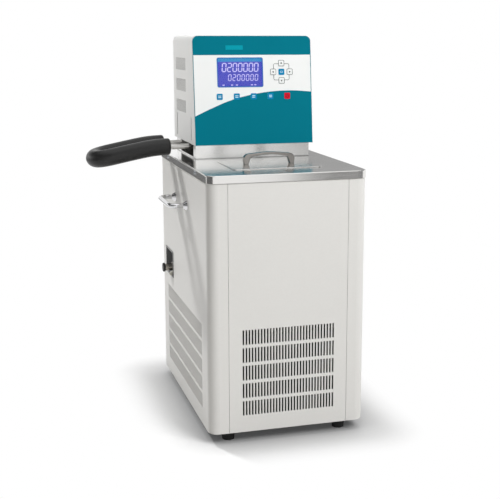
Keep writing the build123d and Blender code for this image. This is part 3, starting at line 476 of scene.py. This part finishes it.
@dataclass
class Camera:
    """The camera that took the photograph."""

    place: tuple[float, float, float] = (-0.57735, -2.08545, 0.79297)
    yaw_deg: float = 16.5602
    pitch_deg: float = 10.9729
    roll_deg: float = 0.0724
    focal_px: float = 1025.03
    centre_px: tuple[float, float] = (275.0, 232.0)
    image_px: tuple[int, int] = (500, 499)
    sensor_mm: float = 36.0
    sight_m: float = 60.0

    def build(self) -> None:
        """Make the camera and set it as the scene's."""
        yaw, pitch, roll = (math.radians(v) for v in (self.yaw_deg, self.pitch_deg, self.roll_deg))
        ahead = Vector((math.sin(yaw) * math.cos(pitch), math.cos(yaw) * math.cos(pitch), -math.sin(pitch)))
        level = Vector((math.cos(yaw), -math.sin(yaw), 0.0))
        rise = level.cross(ahead)
        right = level * math.cos(roll) + rise * math.sin(roll)
        up = rise * math.cos(roll) - level * math.sin(roll)
        data = bpy.data.cameras.new("camera")
        width, height = self.image_px
        data.sensor_width = self.sensor_mm
        data.lens = self.focal_px / width * self.sensor_mm
        data.shift_x = (width / 2 - self.centre_px[0]) / width
        data.shift_y = (self.centre_px[1] - height / 2) / width
        data.clip_end = self.sight_m
        camera = add_object("camera", data)
        turned = Matrix((right, up, -ahead)).transposed().to_4x4()
        camera.matrix_world = Matrix.Translation(self.place) @ turned
        bpy.context.scene.camera = camera


@dataclass
class Lamp:
    """One soft box of the studio."""

    name: str
    place: tuple[float, float, float]
    aim: tuple[float, float, float]
    size: tuple[float, float]
    watts: float
    mirrored: bool = True

    def build(self) -> None:
        """Hang the lamp and turn it to what it lights."""
        data = bpy.data.lights.new(self.name, "AREA")
        data.shape = "RECTANGLE"
        data.size, data.size_y = self.size
        data.energy = self.watts
        lamp = add_object(self.name, data)
        lamp.location = self.place
        lamp.visible_glossy = self.mirrored
        lamp.rotation_euler = (Vector(self.aim) - Vector(self.place)).to_track_quat("-Z", "Y").to_euler()


@dataclass
class Card:
    """A grey card that stands about the object and is seen in bright metal only, with soft edges."""

    name: str
    bearing_deg: tuple[float, float]
    distance: float
    height: tuple[float, float]
    level: float
    soft: float
    steps: int = 16

    def build(self) -> None:
        """Stand the card up as an arc about the object, between two bearings from +X towards +Y."""
        low, high = (math.radians(v) for v in self.bearing_deg)
        half = (high - low) / 2
        shape = bmesh.new()
        ends = [shape.verts.new((self.distance * math.cos(half), -self.distance * math.sin(half), z))
                for z in self.height]
        bmesh.ops.spin(shape, geom=[*ends, shape.edges.new(ends)], cent=(0, 0, 0), axis=(0, 0, 1),
                       angle=2 * half, steps=self.steps)
        mesh = to_mesh(self.name, shape)
        mesh.materials.append(self.material(half))
        card = add_object(self.name, mesh)
        card.rotation_euler.z = (low + high) / 2
        card.visible_camera = card.visible_diffuse = card.visible_shadow = False
        card.visible_transmission = card.visible_volume_scatter = False

    def material(self, half_turn: float) -> bpy.types.Material:
        """Make a material that goes from white at the card's edges to its own grey.

        Args:
            half_turn: Half of the arc, in radians.

        Returns:
            The material.
        """
        material = bare_material(self.name)
        tree = material.node_tree
        place = add_node(tree, "ShaderNodeTexCoord").outputs["Object"]
        parts = add_node(tree, "ShaderNodeSeparateXYZ", {0: place})
        turn = add_node(tree, "ShaderNodeMath", {0: parts.outputs["Y"], 1: parts.outputs["X"]},
                        operation="ARCTAN2")
        spans = [(turn.outputs[0], -half_turn, half_turn),
                 (parts.outputs["Z"], *self.height)]
        share = None
        for value, low, high in spans:
            middle, half = (low + high) / 2, (high - low) / 2
            off = add_node(tree, "ShaderNodeMath", {0: value, 1: middle}, operation="SUBTRACT")
            away = add_node(tree, "ShaderNodeMath", {0: off.outputs[0]}, operation="ABSOLUTE")
            edge = add_node(tree, "ShaderNodeMapRange", {
                "Value": away.outputs[0], "From Min": half * (1 - 2 * self.soft), "From Max": half,
                "To Min": 1.0, "To Max": 0.0}, interpolation_type="SMOOTHSTEP").outputs["Result"]
            share = edge if share is None else add_node(tree, "ShaderNodeMath", {0: share, 1: edge},
                                                        operation="MULTIPLY").outputs[0]
        level = add_node(tree, "ShaderNodeMapRange", {"Value": share, "To Min": 1.0, "To Max": self.level})
        glow = add_node(tree, "ShaderNodeEmission", {"Color": WHITE, "Strength": level.outputs["Result"]})
        add_node(tree, "ShaderNodeOutputMaterial", {"Surface": glow.outputs[0]})
        return material


@dataclass
class Studio:
    """Pale floor with a painted contact shadow, white surround, soft lamps and the grey cards that bright
    metal mirrors.
    """

    floor_m: float = 14.0
    floor_tone: str = "#E4E4E4"
    # Painted contact shadow: ambient occlusion within contact_m darkens the floor's colour and glow down to
    # contact_low.
    contact_m: float = 0.13
    contact_low: float = 0.44
    contact_span: tuple[float, float] = (0.35, 0.95)
    footprint: tuple[float, float, float] = (0.16, 0.24, 0.0)
    shadow_span: tuple[float, float] = (0.03, 0.13)
    bounce_tone: str = "#B0AEAA"
    floor_lift: float = 0.10
    floor_mirrored: float = 0.98
    ambient: float = 0.255
    lamps: list[Lamp] = field(default_factory=lambda: [
        Lamp("key_rear_left", (-1.45, 2.35, 2.65), (-0.16, 0.0, 0.3), (0.4, 0.4), 92.0, mirrored=False),
        Lamp("front_right_soft", (1.5, -2.7, 3.0), (0.0, 0.0, 0.3), (1.8, 1.8), 126.0, mirrored=False),
        Lamp("left_soft", (-2.8, 2.2, 1.5), (0.0, 0.0, 0.35), (1.4, 1.4), 7.0),
        Lamp("top_soft", (0.2, -0.9, 3.6), (0.0, 0.0, 0.3), (2.4, 2.4), 8.0),
    ])
    cards: list[Card] = field(default_factory=lambda: [
        Card("card_front_right", (-74.8, -20.0), 2.6, (-0.3, 0.6), 0.27, soft=0.05),
        Card("card_front_right_high", (-72.0, -20.0), 2.6, (0.6, 1.5), 0.20, soft=0.05),
        Card("card_rear_right", (52.0, 80.0), 3.0, (0.1, 1.6), 0.36, soft=0.2),
        Card("card_rear_left", (91.0, 160.0), 3.0, (-0.5, 0.30), 0.16, soft=0.1),
        Card("card_left", (160.0, 238.0), 2.4, (-0.3, 1.0), 0.12, soft=0.15),
        Card("card_high_left", (95.0, 265.0), 2.4, (1.1, 3.4), 0.10, soft=0.08),
        Card("card_high_right", (-80.0, 60.0), 2.4, (1.7, 3.4), 0.14, soft=0.1),
    ])

    def build(self) -> None:
        """Make the floor, the surround, the lamps and the cards."""
        self.lay_floor()
        self.surround()
        for item in (*self.lamps, *self.cards):
            item.build()

    def lay_floor(self) -> None:
        """Lay a plain pale floor that goes to white away from the object, keeps its shadow and has a contact
        shadow painted in from ambient occlusion.
        """
        shape = bmesh.new()
        bmesh.ops.create_grid(shape, x_segments=1, y_segments=1, size=self.floor_m / 2)
        mesh = to_mesh("floor", shape)
        floor = add_object("floor", mesh)
        material = bare_material("pale_floor")
        tree = material.node_tree
        seen = self.seen_directly(tree)
        tone = add_node(tree, "ShaderNodeMix",
                        {0: seen, 6: linear(self.bounce_tone), 7: linear(self.floor_tone)}, data_type="RGBA")
        near_by = add_node(tree, "ShaderNodeAmbientOcclusion", {"Distance": self.contact_m}, samples=16)
        painted_contact_shadow = add_node(tree, "ShaderNodeMapRange", {
            "Value": near_by.outputs["AO"], "From Min": self.contact_span[0],
            "From Max": self.contact_span[1], "To Min": self.contact_low, "To Max": 1.0}).outputs["Result"]
        shadowed_tone = add_node(tree, "ShaderNodeVectorMath", {0: tone.outputs[2], "Scale": painted_contact_shadow},
                        operation="SCALE")
        matt = add_node(tree, "ShaderNodeBsdfDiffuse", {"Color": shadowed_tone.outputs["Vector"]})
        place = add_node(tree, "ShaderNodeTexCoord").outputs["Object"]
        size = add_node(tree, "ShaderNodeVectorMath", {0: place}, operation="ABSOLUTE")
        past = add_node(tree, "ShaderNodeVectorMath", {0: size.outputs["Vector"], 1: self.footprint},
                        operation="SUBTRACT")
        outside = add_node(tree, "ShaderNodeVectorMath", {0: past.outputs["Vector"], 1: (0.0, 0.0, 0.0)},
                           operation="MAXIMUM")
        away = add_node(tree, "ShaderNodeVectorMath", {0: outside.outputs["Vector"]}, operation="LENGTH")
        level = add_node(tree, "ShaderNodeMapRange", {
            "Value": away.outputs["Value"], "From Min": self.shadow_span[0], "From Max": self.shadow_span[1]},
            interpolation_type="SMOOTHSTEP")
        lift = add_node(tree, "ShaderNodeMath", {0: painted_contact_shadow, 1: self.floor_lift}, operation="MULTIPLY")
        glow = add_node(tree, "ShaderNodeEmission", {"Color": WHITE, "Strength": lift.outputs[0]})
        near = add_node(tree, "ShaderNodeAddShader", {0: matt.outputs[0], 1: glow.outputs[0]})
        mirrored = add_node(tree, "ShaderNodeLightPath").outputs["Is Glossy Ray"]
        plain = add_node(tree, "ShaderNodeMapRange",
                         {"Value": mirrored, "To Min": 1.0, "To Max": self.floor_mirrored})
        far = add_node(tree, "ShaderNodeEmission", {"Color": WHITE, "Strength": plain.outputs["Result"]})
        share = add_node(tree, "ShaderNodeMath", {0: seen, 1: level.outputs["Result"]}, operation="MULTIPLY")
        whole = add_node(tree, "ShaderNodeMixShader",
                         {0: share.outputs[0], 1: near.outputs[0], 2: far.outputs[0]})
        add_node(tree, "ShaderNodeOutputMaterial", {"Surface": whole.outputs[0]})
        mesh.materials.append(material)

    def seen_directly(self, tree: bpy.types.NodeTree) -> bpy.types.NodeSocket:
        """Tell rays from the camera, mirrors and glass from those that only light the object.

        Args:
            tree: Node tree of a material or of the world.

        Returns:
            A value of 1 for the first and 0 for the second.
        """
        path = add_node(tree, "ShaderNodeLightPath")
        first = add_node(tree, "ShaderNodeMath", {0: path.outputs["Is Camera Ray"],
                                                  1: path.outputs["Is Glossy Ray"]}, operation="MAXIMUM")
        both = add_node(tree, "ShaderNodeMath", {0: first.outputs[0],
                                                 1: path.outputs["Is Transmission Ray"]}, operation="MAXIMUM")
        return both.outputs[0]

    def surround(self) -> None:
        """Make the surround white where it is seen or mirrored, and darker where it only lights."""
        world = bpy.data.worlds.new("surround")
        bpy.context.scene.world = world
        world.use_nodes = True
        tree = world.node_tree
        tree.nodes.clear()
        seen = self.seen_directly(tree)
        level = add_node(tree, "ShaderNodeMapRange", {"Value": seen, "To Min": self.ambient, "To Max": 1.0})
        light = add_node(tree, "ShaderNodeBackground",
                         {"Color": WHITE, "Strength": level.outputs["Result"]})
        add_node(tree, "ShaderNodeOutputWorld", {"Surface": light.outputs[0]})


@dataclass
class HoseLoop:
    """Insulated hose from the front nozzle round to the rear one, with its rounded foam ends, all in mm."""

    front_y: float = 72.0
    rear_y: float = 148.0
    radius: float = 18.0
    length: float = 363.4
    route: tuple[tuple[float, float], ...] = ((-170.0, 555.0), (-200.0, 555.0), (-252.0, 545.6),
                                              (-326.0, 530.5))
    collar: float = 7.0
    collar_round: float = 5.5
    lap: float = 1.0
    round_cuts: int = 10
    run_cuts: int = 16
    end_sides: int = 56
    end_cuts: int = 7

    def build(self) -> None:
        out = [(x, self.front_y, z) for x, z in self.route]
        back = [(x, self.rear_y, z) for x, z in reversed(self.route)]
        start_x = self.route[0][0] - self.collar + self.lap
        points = [(start_x, *out[0][1:])] + out[1:] + back[:-1] + [(start_x, *back[-1][1:])]
        curve = bpy.data.curves.new("hose_sleeve", "CURVE")
        curve.dimensions = "3D"
        curve.bevel_depth = self.radius * MM
        curve.bevel_resolution = self.round_cuts
        curve.resolution_u = self.run_cuts
        curve.use_fill_caps = True
        spline = curve.splines.new("NURBS")
        spline.points.add(len(points) - 1)
        for point, place in zip(spline.points, points):
            point.co = (*(v * MM for v in place), 1.0)
        spline.order_u = 3
        spline.use_endpoint_u = True
        curve.materials.append(NITRILE_FOAM.make())
        sleeve = add_object("hose_sleeve", curve)
        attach(sleeve, CABINET)
        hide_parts("hose")
        ends = [self.rounded_end("hose_end_front", self.front_y),
                self.rounded_end("hose_end_rear", self.rear_y)]

    def rounded_end(self, name: str, y: float) -> bpy.types.Object:
        """Make one rounded foam end, flush with the nozzle's mouth.

        Args:
            name: Name of the piece.
            y: The nozzle's place across the depth, in mm.

        Returns:
            The piece.
        """
        shape = bmesh.new()
        bmesh.ops.create_cone(shape, cap_ends=True, segments=self.end_sides, radius1=self.radius,
                              radius2=self.radius, depth=self.collar)
        mouth = [edge for edge in shape.edges if all(vert.co.z > 0 for vert in edge.verts)]
        bmesh.ops.bevel(shape, geom=mouth, offset=self.collar_round, segments=self.end_cuts, profile=0.5,
                        affect="EDGES", material=-1)
        bmesh.ops.rotate(shape, verts=shape.verts, matrix=Matrix.Rotation(math.pi / 2, 3, "Y"))
        middle = (self.route[0][0] - self.collar / 2, y, self.route[0][1])
        bmesh.ops.translate(shape, verts=shape.verts, vec=middle)
        bmesh.ops.scale(shape, verts=shape.verts, vec=(MM, MM, MM))
        return make_piece(name, shape, NITRILE_FOAM)


@dataclass
class FaceFrame:
    """The leaning face of the head: x across, v up the slope, and lift outward, all in mm."""

    front_y: float = 5.0
    low_z: float = 562.0
    lean: float = 22.0
    height: float = 226.0
    corner_cuts: int = 6

    def matrix(self) -> Matrix:
        """Work out where the face lies.

        Returns:
            The transform from (x, v, lift) in mm to the shared frame in metres.
        """
        angle = math.atan2(self.lean, self.height)
        across = Vector((1.0, 0.0, 0.0))
        up = Vector((0.0, math.sin(angle), math.cos(angle)))
        outward = across.cross(up)
        turned = Matrix((across, up, outward)).transposed().to_4x4()
        shift = Matrix.Translation(Vector((0.0, self.front_y, self.low_z)) * MM)
        return shift @ turned @ Matrix.Diagonal((MM, MM, MM, 1.0))

    def slab(self, shape: bmesh.types.BMesh, corners: Sequence[tuple[float, float]], low: float, high: float,
             corner_r: float = 0.0, rounded: Sequence[int] = (), line: float = 0.0) -> None:
        """Add a flat plate, or a ring of one line width, to a mesh in face coordinates.

        Args:
            shape: Mesh that gets the plate.
            corners: Outline in order, as (x, v).
            low: Lift of its back.
            high: Lift of its front.
            corner_r: Radius of the rounded corners.
            rounded: Numbers of the corners to round; all where none are given.
            line: Width of the ring, or 0 for a full plate.
        """
        part = bmesh.new()
        verts = [part.verts.new((x, v, low)) for x, v in corners]
        part.faces.new(verts)
        if corner_r:
            chosen = [verts[index] for index in rounded] if rounded else verts
            bmesh.ops.bevel(part, geom=chosen, offset=corner_r, segments=self.corner_cuts, profile=0.5,
                            affect="VERTICES", material=-1)
        if line:
            middle = list(part.faces)
            bmesh.ops.inset_region(part, faces=middle, thickness=line, use_even_offset=True,
                                   use_boundary=True)
            bmesh.ops.delete(part, geom=middle, context="FACES")
        raised = bmesh.ops.extrude_face_region(part, geom=list(part.faces), use_keep_orig=True)
        moved = [item for item in raised["geom"] if isinstance(item, bmesh.types.BMVert)]
        bmesh.ops.translate(part, verts=moved, vec=(0, 0, high - low))
        bmesh.ops.recalc_face_normals(part, faces=part.faces)
        spare = to_mesh("spare", part)
        shape.from_mesh(spare)
        bpy.data.meshes.remove(spare)

    def finish(self, name: str, shape: bmesh.types.BMesh, finish: Finish | Backlight) -> None:
        """Move a mesh from face coordinates into place and make it a piece."""
        bmesh.ops.transform(shape, verts=shape.verts, matrix=self.matrix())
        make_piece(name, shape, finish)


def box_outline(x: float, v: float, width: float, height: float) -> list[tuple[float, float]]:
    """Return the corners of an upright rectangle about its middle, lower left first, then lower right."""
    left, right, low, high = x - width / 2, x + width / 2, v - height / 2, v + height / 2
    return [(left, low), (right, low), (right, high), (left, high)]


@dataclass
class FacePrint:
    """Printed colours of the overlay: upper band, sweeping lower field and thin side lines."""

    face: FaceFrame
    half_w: float = 128.4
    top_v: float = 226.6
    corner_r: float = 11.4
    band_v: float = 187.2
    side_line: float = 1.3
    foot_v: float = 0.4
    ink: float = INK_MM
    window: tuple[float, float, float, float] = (-39.5, 202.5, 37.0, 9.0)
    window_r: float = 0.8
    sweep_cuts: int = 10
    join: float = 0.001
    sweep: tuple[tuple[float, float], ...] = ((-128.4, 60.6), (-88.0, 78.6), (-44.2, 95.0), (-4.2, 104.4),
                                              (38.0, 110.4), (84.9, 112.1), (128.4, 109.0))

    def build(self) -> None:
        """Print the overlay."""
        shape = bmesh.new()
        middle_v = (self.band_v + self.top_v) / 2
        band = box_outline(0, middle_v, 2 * self.half_w, self.top_v - self.band_v)
        self.face.slab(shape, band, 0, self.ink, self.corner_r, rounded=(2, 3))
        self.face.finish("print_upper_band", shape, TEAL_FILM)
        shape = bmesh.new()
        self.face.slab(shape, box_outline(*self.window), self.ink, 2 * self.ink, self.window_r)
        self.face.finish("print_lamp_window", shape, AQUA_FILM)
        shape = bmesh.new()
        for side, low in ((-1, self.sweep[0][1]), (1, self.sweep[-1][1])):
            middle = side * (self.half_w - self.side_line / 2)
            outline = box_outline(middle, (low + self.band_v) / 2, self.side_line, self.band_v - low)
            self.face.slab(shape, outline, 0, self.ink)
        self.face.finish("print_side_lines", shape, TEAL_FILM)
        self.lower_field()

    def lower_field(self) -> None:
        """Make the lower field from a flat curve whose top edge sweeps up to the right."""
        curve = bpy.data.curves.new("print_lower_field", "CURVE")
        curve.dimensions = "2D"
        curve.fill_mode = "BOTH"
        curve.extrude = self.ink / 2
        curve.resolution_u = self.sweep_cuts
        spline = curve.splines.new("BEZIER")
        corners = [(self.half_w, self.foot_v), (-self.half_w, self.foot_v)]
        points = list(self.sweep) + corners
        spline.bezier_points.add(len(points) - 1)
        for index, (point, place) in enumerate(zip(spline.bezier_points, points)):
            point.co = (*place, 0)
            inner = 0 < index < len(self.sweep) - 1
            point.handle_left_type = point.handle_right_type = "AUTO" if inner else "VECTOR"
        spline.use_cyclic_u = True
        flat = bpy.data.objects.new("print_lower_field", curve)
        mesh = bpy.data.meshes.new_from_object(flat)
        bpy.data.objects.remove(flat)
        shape = bmesh.new()
        shape.from_mesh(mesh)
        bpy.data.meshes.remove(mesh)
        bmesh.ops.remove_doubles(shape, verts=shape.verts, dist=self.join)
        bmesh.ops.translate(shape, verts=shape.verts, vec=(0, 0, self.ink / 2))
        self.face.finish("print_lower_field_ink", shape, TEAL_FILM)


@dataclass
class KeyField:
    """Membrane keys: a row of five and a cross of five round a thin line, all in mm on the face."""

    face: FaceFrame
    key: float = 13.0
    corner_r: float = 2.2
    row_v: float = 100.8
    row_pitch: float = 36.9
    pad: tuple[float, float] = (62.2, 151.4)
    pad_pitch: float = 18.2
    rise: float = 0.4
    ink: float = INK_MM
    line: float = 1.0
    arrow_r: float = 2.6
    bar: tuple[float, float] = (6.6, 1.7)
    bar_shift: float = 1.6
    bar_r: float = 0.5
    enter: tuple[float, float] = (5.4, 4.2)
    enter_r: float = 1.0
    enter_line: float = 0.9
    ring: float = 6.4
    ring_r: float = 3.1
    ring_drop: float = 0.4
    stem: tuple[float, float] = (1.1, 4.2)
    stem_rise: float = 2.4
    stem_r: float = 0.4
    link_short: float = 1.4
    link_r: float = 3.4

    def build(self) -> None:
        """Print every key."""
        high = self.rise + self.ink
        blue, pale = bmesh.new(), bmesh.new()
        for column in range(-2, 2):
            x = column * self.row_pitch
            self.cap(blue, x, self.row_v)
            for shift in (-self.bar_shift, self.bar_shift):
                self.face.slab(pale, box_outline(x, self.row_v + shift, *self.bar), high, high + self.ink,
                               self.bar_r)
        self.cap(blue, *self.pad)
        self.face.slab(pale, box_outline(*self.pad, *self.enter), high, high + self.ink, self.enter_r,
                       line=self.enter_line)
        self.face.finish("key_caps_blue", blue, BLUE_FILM)
        self.face.finish("key_marks_pale", pale, PALE_FILM)
        self.power_key(2 * self.row_pitch)
        self.arrow_keys()

    def square(self, x: float, v: float) -> list[tuple[float, float]]:
        """Return the outline of the key about a middle."""
        return box_outline(x, v, self.key, self.key)

    def cap(self, shape: bmesh.types.BMesh, x: float, v: float) -> None:
        """Add the coloured square of one key, on top of its embossed area."""
        self.face.slab(shape, self.square(x, v), self.rise, self.rise + self.ink, self.corner_r)

    def power_key(self, x: float) -> None:
        """Print the red key with a ring and a bar.

        Args:
            x: The key's middle across the face, in mm.
        """
        high = self.rise + self.ink
        red, mark = bmesh.new(), bmesh.new()
        self.cap(red, x, self.row_v)
        self.face.finish("key_cap_red", red, RED_FILM)
        self.face.slab(mark, box_outline(x, self.row_v - self.ring_drop, self.ring, self.ring), high,
                       high + self.ink, self.ring_r, line=self.line)
        self.face.slab(mark, box_outline(x, self.row_v + self.stem_rise, *self.stem), high,
                       high + 2 * self.ink, self.stem_r)
        self.face.finish("key_mark_power", mark, DARK_RED_FILM)

    def arrow_keys(self) -> None:
        """Print the white keys of the cross with their outlines, arrows and the line that joins them."""
        high = self.rise + self.ink
        white, grey = bmesh.new(), bmesh.new()
        span = 2 * self.pad_pitch - self.link_short
        self.face.slab(grey, box_outline(*self.pad, span, span), 0, self.ink, self.link_r, line=self.line)
        for turn in range(4):
            angle = turn * math.pi / 2
            x = self.pad[0] + self.pad_pitch * math.cos(angle)
            v = self.pad[1] + self.pad_pitch * math.sin(angle)
            self.cap(white, x, v)
            self.face.slab(grey, self.square(x, v), high, high + self.ink / 2, self.corner_r, line=self.line)
            tips = [(x + self.arrow_r * math.cos(angle + third), v + self.arrow_r * math.sin(angle + third))
                    for third in (0, 2 * math.pi / 3, 4 * math.pi / 3)]
            self.face.slab(grey, tips, high, high + self.ink / 2)
        self.face.finish("key_caps_white", white, WHITE_FILM)
        self.face.finish("key_outlines", grey, GREY_FILM)


@dataclass
class SegmentDisplay:
    """Backlit display: blue field, lighter top strip and two rows of seven-segment figures, all in mm."""

    face: FaceFrame
    middle: tuple[float, float] = (-28.0, 151.0)
    size: tuple[float, float] = (98.0, 60.0)
    depth: float = 3.6
    layer: float = 0.05
    play: float = 0.6
    strip: float = 7.0
    strip_short: float = 1.6
    frame_out: float = 2.0
    frame_r: float = 4.0
    frame_line: float = 2.2
    frame_ink: float = INK_MM
    marks_x: tuple[float, ...] = (-36.0, -17.6, -7.0, 25.5, 33.0)
    mark: tuple[float, float] = (4.4, 2.2)
    mark_drop: float = 26.0
    wide_share: float = 0.46
    thick_share: float = 0.065
    gap_share: float = 0.25
    slant: float = 0.08
    strokes: dict[str, str] = field(default_factory=lambda: {"0": "abcdef", "2": "abged"})
    # Text, left end and rise from the middle, height of the figures and pitch.
    rows: tuple[tuple[str, float, float, float, float], ...] = (
        ("0200000", -33.7, 10.6, 17.0, 11.6), ("0200000", -22.0, -10.6, 12.5, 9.65))

    def build(self) -> None:
        """Light the field, the strip and the figures."""
        x, v = self.middle
        width, height = self.size
        rise = math.cos(math.atan2(self.face.lean, self.face.height))
        low_z = (self.face.low_z + (v - height / 2) * rise) * MM
        high_z = (self.face.low_z + (v + height / 2) * rise) * MM
        shape = bmesh.new()
        self.face.slab(shape, box_outline(x, v, width - self.play, height - self.play), -self.depth,
                       -self.depth + self.layer)
        self.face.finish("lcd_field", shape,
                         Backlight("backlit_liquid_crystal", "#3034B6", "#3038B8", 1.0, low_z, high_z))
        shape = bmesh.new()
        strip_v = v + height / 2 - self.strip / 2 - self.play
        self.on_field(shape, box_outline(x, strip_v, width - self.strip_short, self.strip))
        self.face.finish("lcd_strip", shape, Backlight("backlit_strip", "#1C80C8", "#1490B4", 1.0,
                                                       high_z - self.strip * MM, high_z))
        shape = bmesh.new()
        self.face.slab(shape, box_outline(x, v, width + self.frame_out, height + self.frame_out), 0,
                       self.frame_ink, self.frame_r, line=self.frame_line)
        self.face.finish("lcd_frame", shape, FRAME_FILM)
        shape = bmesh.new()
        for text, left, up, tall, pitch in self.rows:
            for index, figure in enumerate(text):
                self.figure(shape, figure, x + left + index * pitch, v + up, tall)
        for left in self.marks_x:
            self.on_field(shape, box_outline(x + left, v - self.mark_drop, *self.mark))
        self.face.finish("lcd_figures", shape,
                         Backlight("backlit_figures", "#C9C2F2", "#CFC9F5", 0.95, low_z, high_z))

    def on_field(self, shape: bmesh.types.BMesh, corners: Sequence[tuple[float, float]]) -> None:
        """Add a thin plate that lies on the blue field."""
        self.face.slab(shape, corners, -self.depth + self.layer, -self.depth + 2 * self.layer)

    def figure(self, shape: bmesh.types.BMesh, text: str, x: float, v: float, tall: float) -> None:
        """Add one figure, made of bars with pointed ends.

        Args:
            shape: Mesh that gets the bars.
            text: The figure.
            x: Its middle across the face, in mm.
            v: Its middle up the slope, in mm.
            tall: Its height in mm.
        """
        wide = tall * self.wide_share
        half = tall / 2
        thick = tall * self.thick_share
        spots = {"a": (0, half, 0), "g": (0, 0, 0), "d": (0, -half, 0), "b": (wide / 2, half / 2, 1),
                 "c": (wide / 2, -half / 2, 1), "e": (-wide / 2, -half / 2, 1), "f": (-wide / 2, half / 2, 1)}
        for stroke in self.strokes[text]:
            dx, dv, upright = spots[stroke]
            reach = (half if upright else wide) / 2 - thick * self.gap_share
            bar = [(-reach, 0), (-reach + thick, -thick), (reach - thick, -thick), (reach, 0),
                   (reach - thick, thick), (-reach + thick, thick)]
            if upright:
                bar = [(-b, a) for a, b in bar]
            self.on_field(shape, [(x + dx + a + self.slant * (dv + b), v + dv + b) for a, b in bar])


@dataclass
class CabinetShell:
    """Powder-coated cabinet with its vents, pan, shroud, handles, inlet, feet and all screws."""

    panels: tuple[str, ...] = ("left_side_panel", "right_side_panel", "rear_panel")
    screws: tuple[str, ...] = ("foot_screws", "deck_screws", "handle_screws", "lid_handle_screws")
    feet: tuple[str, ...] = ("front_left_foot", "front_right_foot", "rear_left_foot", "rear_right_foot")

    def build(self) -> None:
        """Dress the cabinet's nodes."""
        dress(POWDER_COAT, self.panels)
        dress(FRONT_COAT, ("front_panel",))
        dress(RECESS_COAT, ("drain_recess",))
        dress(GALVANISED, ("base_pan", "fan_shroud", "pump_plate"))
        dress(ZINC_PLATE, self.screws)
        dress(RUBBER, self.feet)
        dress(CHROME, ("left_handle", "right_handle"))
        dress(SATIN_NICKEL, ("lid_handle",))
        dress(BLACK_ABS, ("power_inlet", "drain_knob"))


@dataclass
class BathTop:
    """Stainless deck, lid, neck and tank with what hangs in it."""

    def build(self) -> None:
        """Dress the stainless nodes."""
        dress(DECK_STEEL, ("deck", "lid"))
        dress(BRUSHED_STEEL, ("neck_skirt",))
        dress(DRAWN_STEEL, ("bath_tank", "outlet_pipe", "return_pipe", "pump_column", "pump_housing",
                            "pump_shaft", "pump_impeller", "immersion_heater", "cooling_coil",
                            "temperature_probe"))
        dress(RIGID_FOAM, ("tank_insulation",))


@dataclass
class ControlHead:
    """Hood with its printed face, keys and display."""

    face: FaceFrame = field(default_factory=FaceFrame)

    def build(self) -> None:
        """Dress the head and print its face."""
        dress(HOOD_COAT, ("head_hood", "head_base"))
        dress(WHITE_FILM, ("keypad_overlay",))
        dress(GREY_ABS, ("control_fascia", "relay_box"))
        dress(ClearSheet(), ("display_window",))
        dress(BLACK_ABS, ("display_module",))
        dress(GREEN_BOARD, ("control_board",))
        FacePrint(self.face).build()
        KeyField(self.face).build()
        SegmentDisplay(self.face).build()


@dataclass
class Machinery:
    """Refrigeration set, pump motor and drain fittings."""

    def build(self) -> None:
        """Dress what sits in and behind the openings."""
        dress(BLACK_ENAMEL, ("compressor", "pump_motor", "fan_motor"))
        dress(BLACK_PAINT, ("fan", "condenser"))
        dress(RUBBER, ("compressor_grommets",))
        dress(COPPER, ("suction_line", "capillary_line", "condenser_line", "discharge_line", "filter_drier"))
        dress(NICKEL, ("drain_valve", "drain_pipe"))
        dress(NYLON, ("drain_spout",))


def main() -> None:
    """Build the scene, piece by piece."""
    logging.basicConfig(level=logging.INFO, format="%(name)s: %(message)s")
    bpy.context.scene.view_settings.view_transform = "Standard"
    for part in (Camera(), HoseLoop(), CabinetShell(), BathTop(), ControlHead(), Machinery(), Studio()):
        part.build()
        LOG.info("built %s", type(part).__name__)


if __name__ == "__main__":
    main()
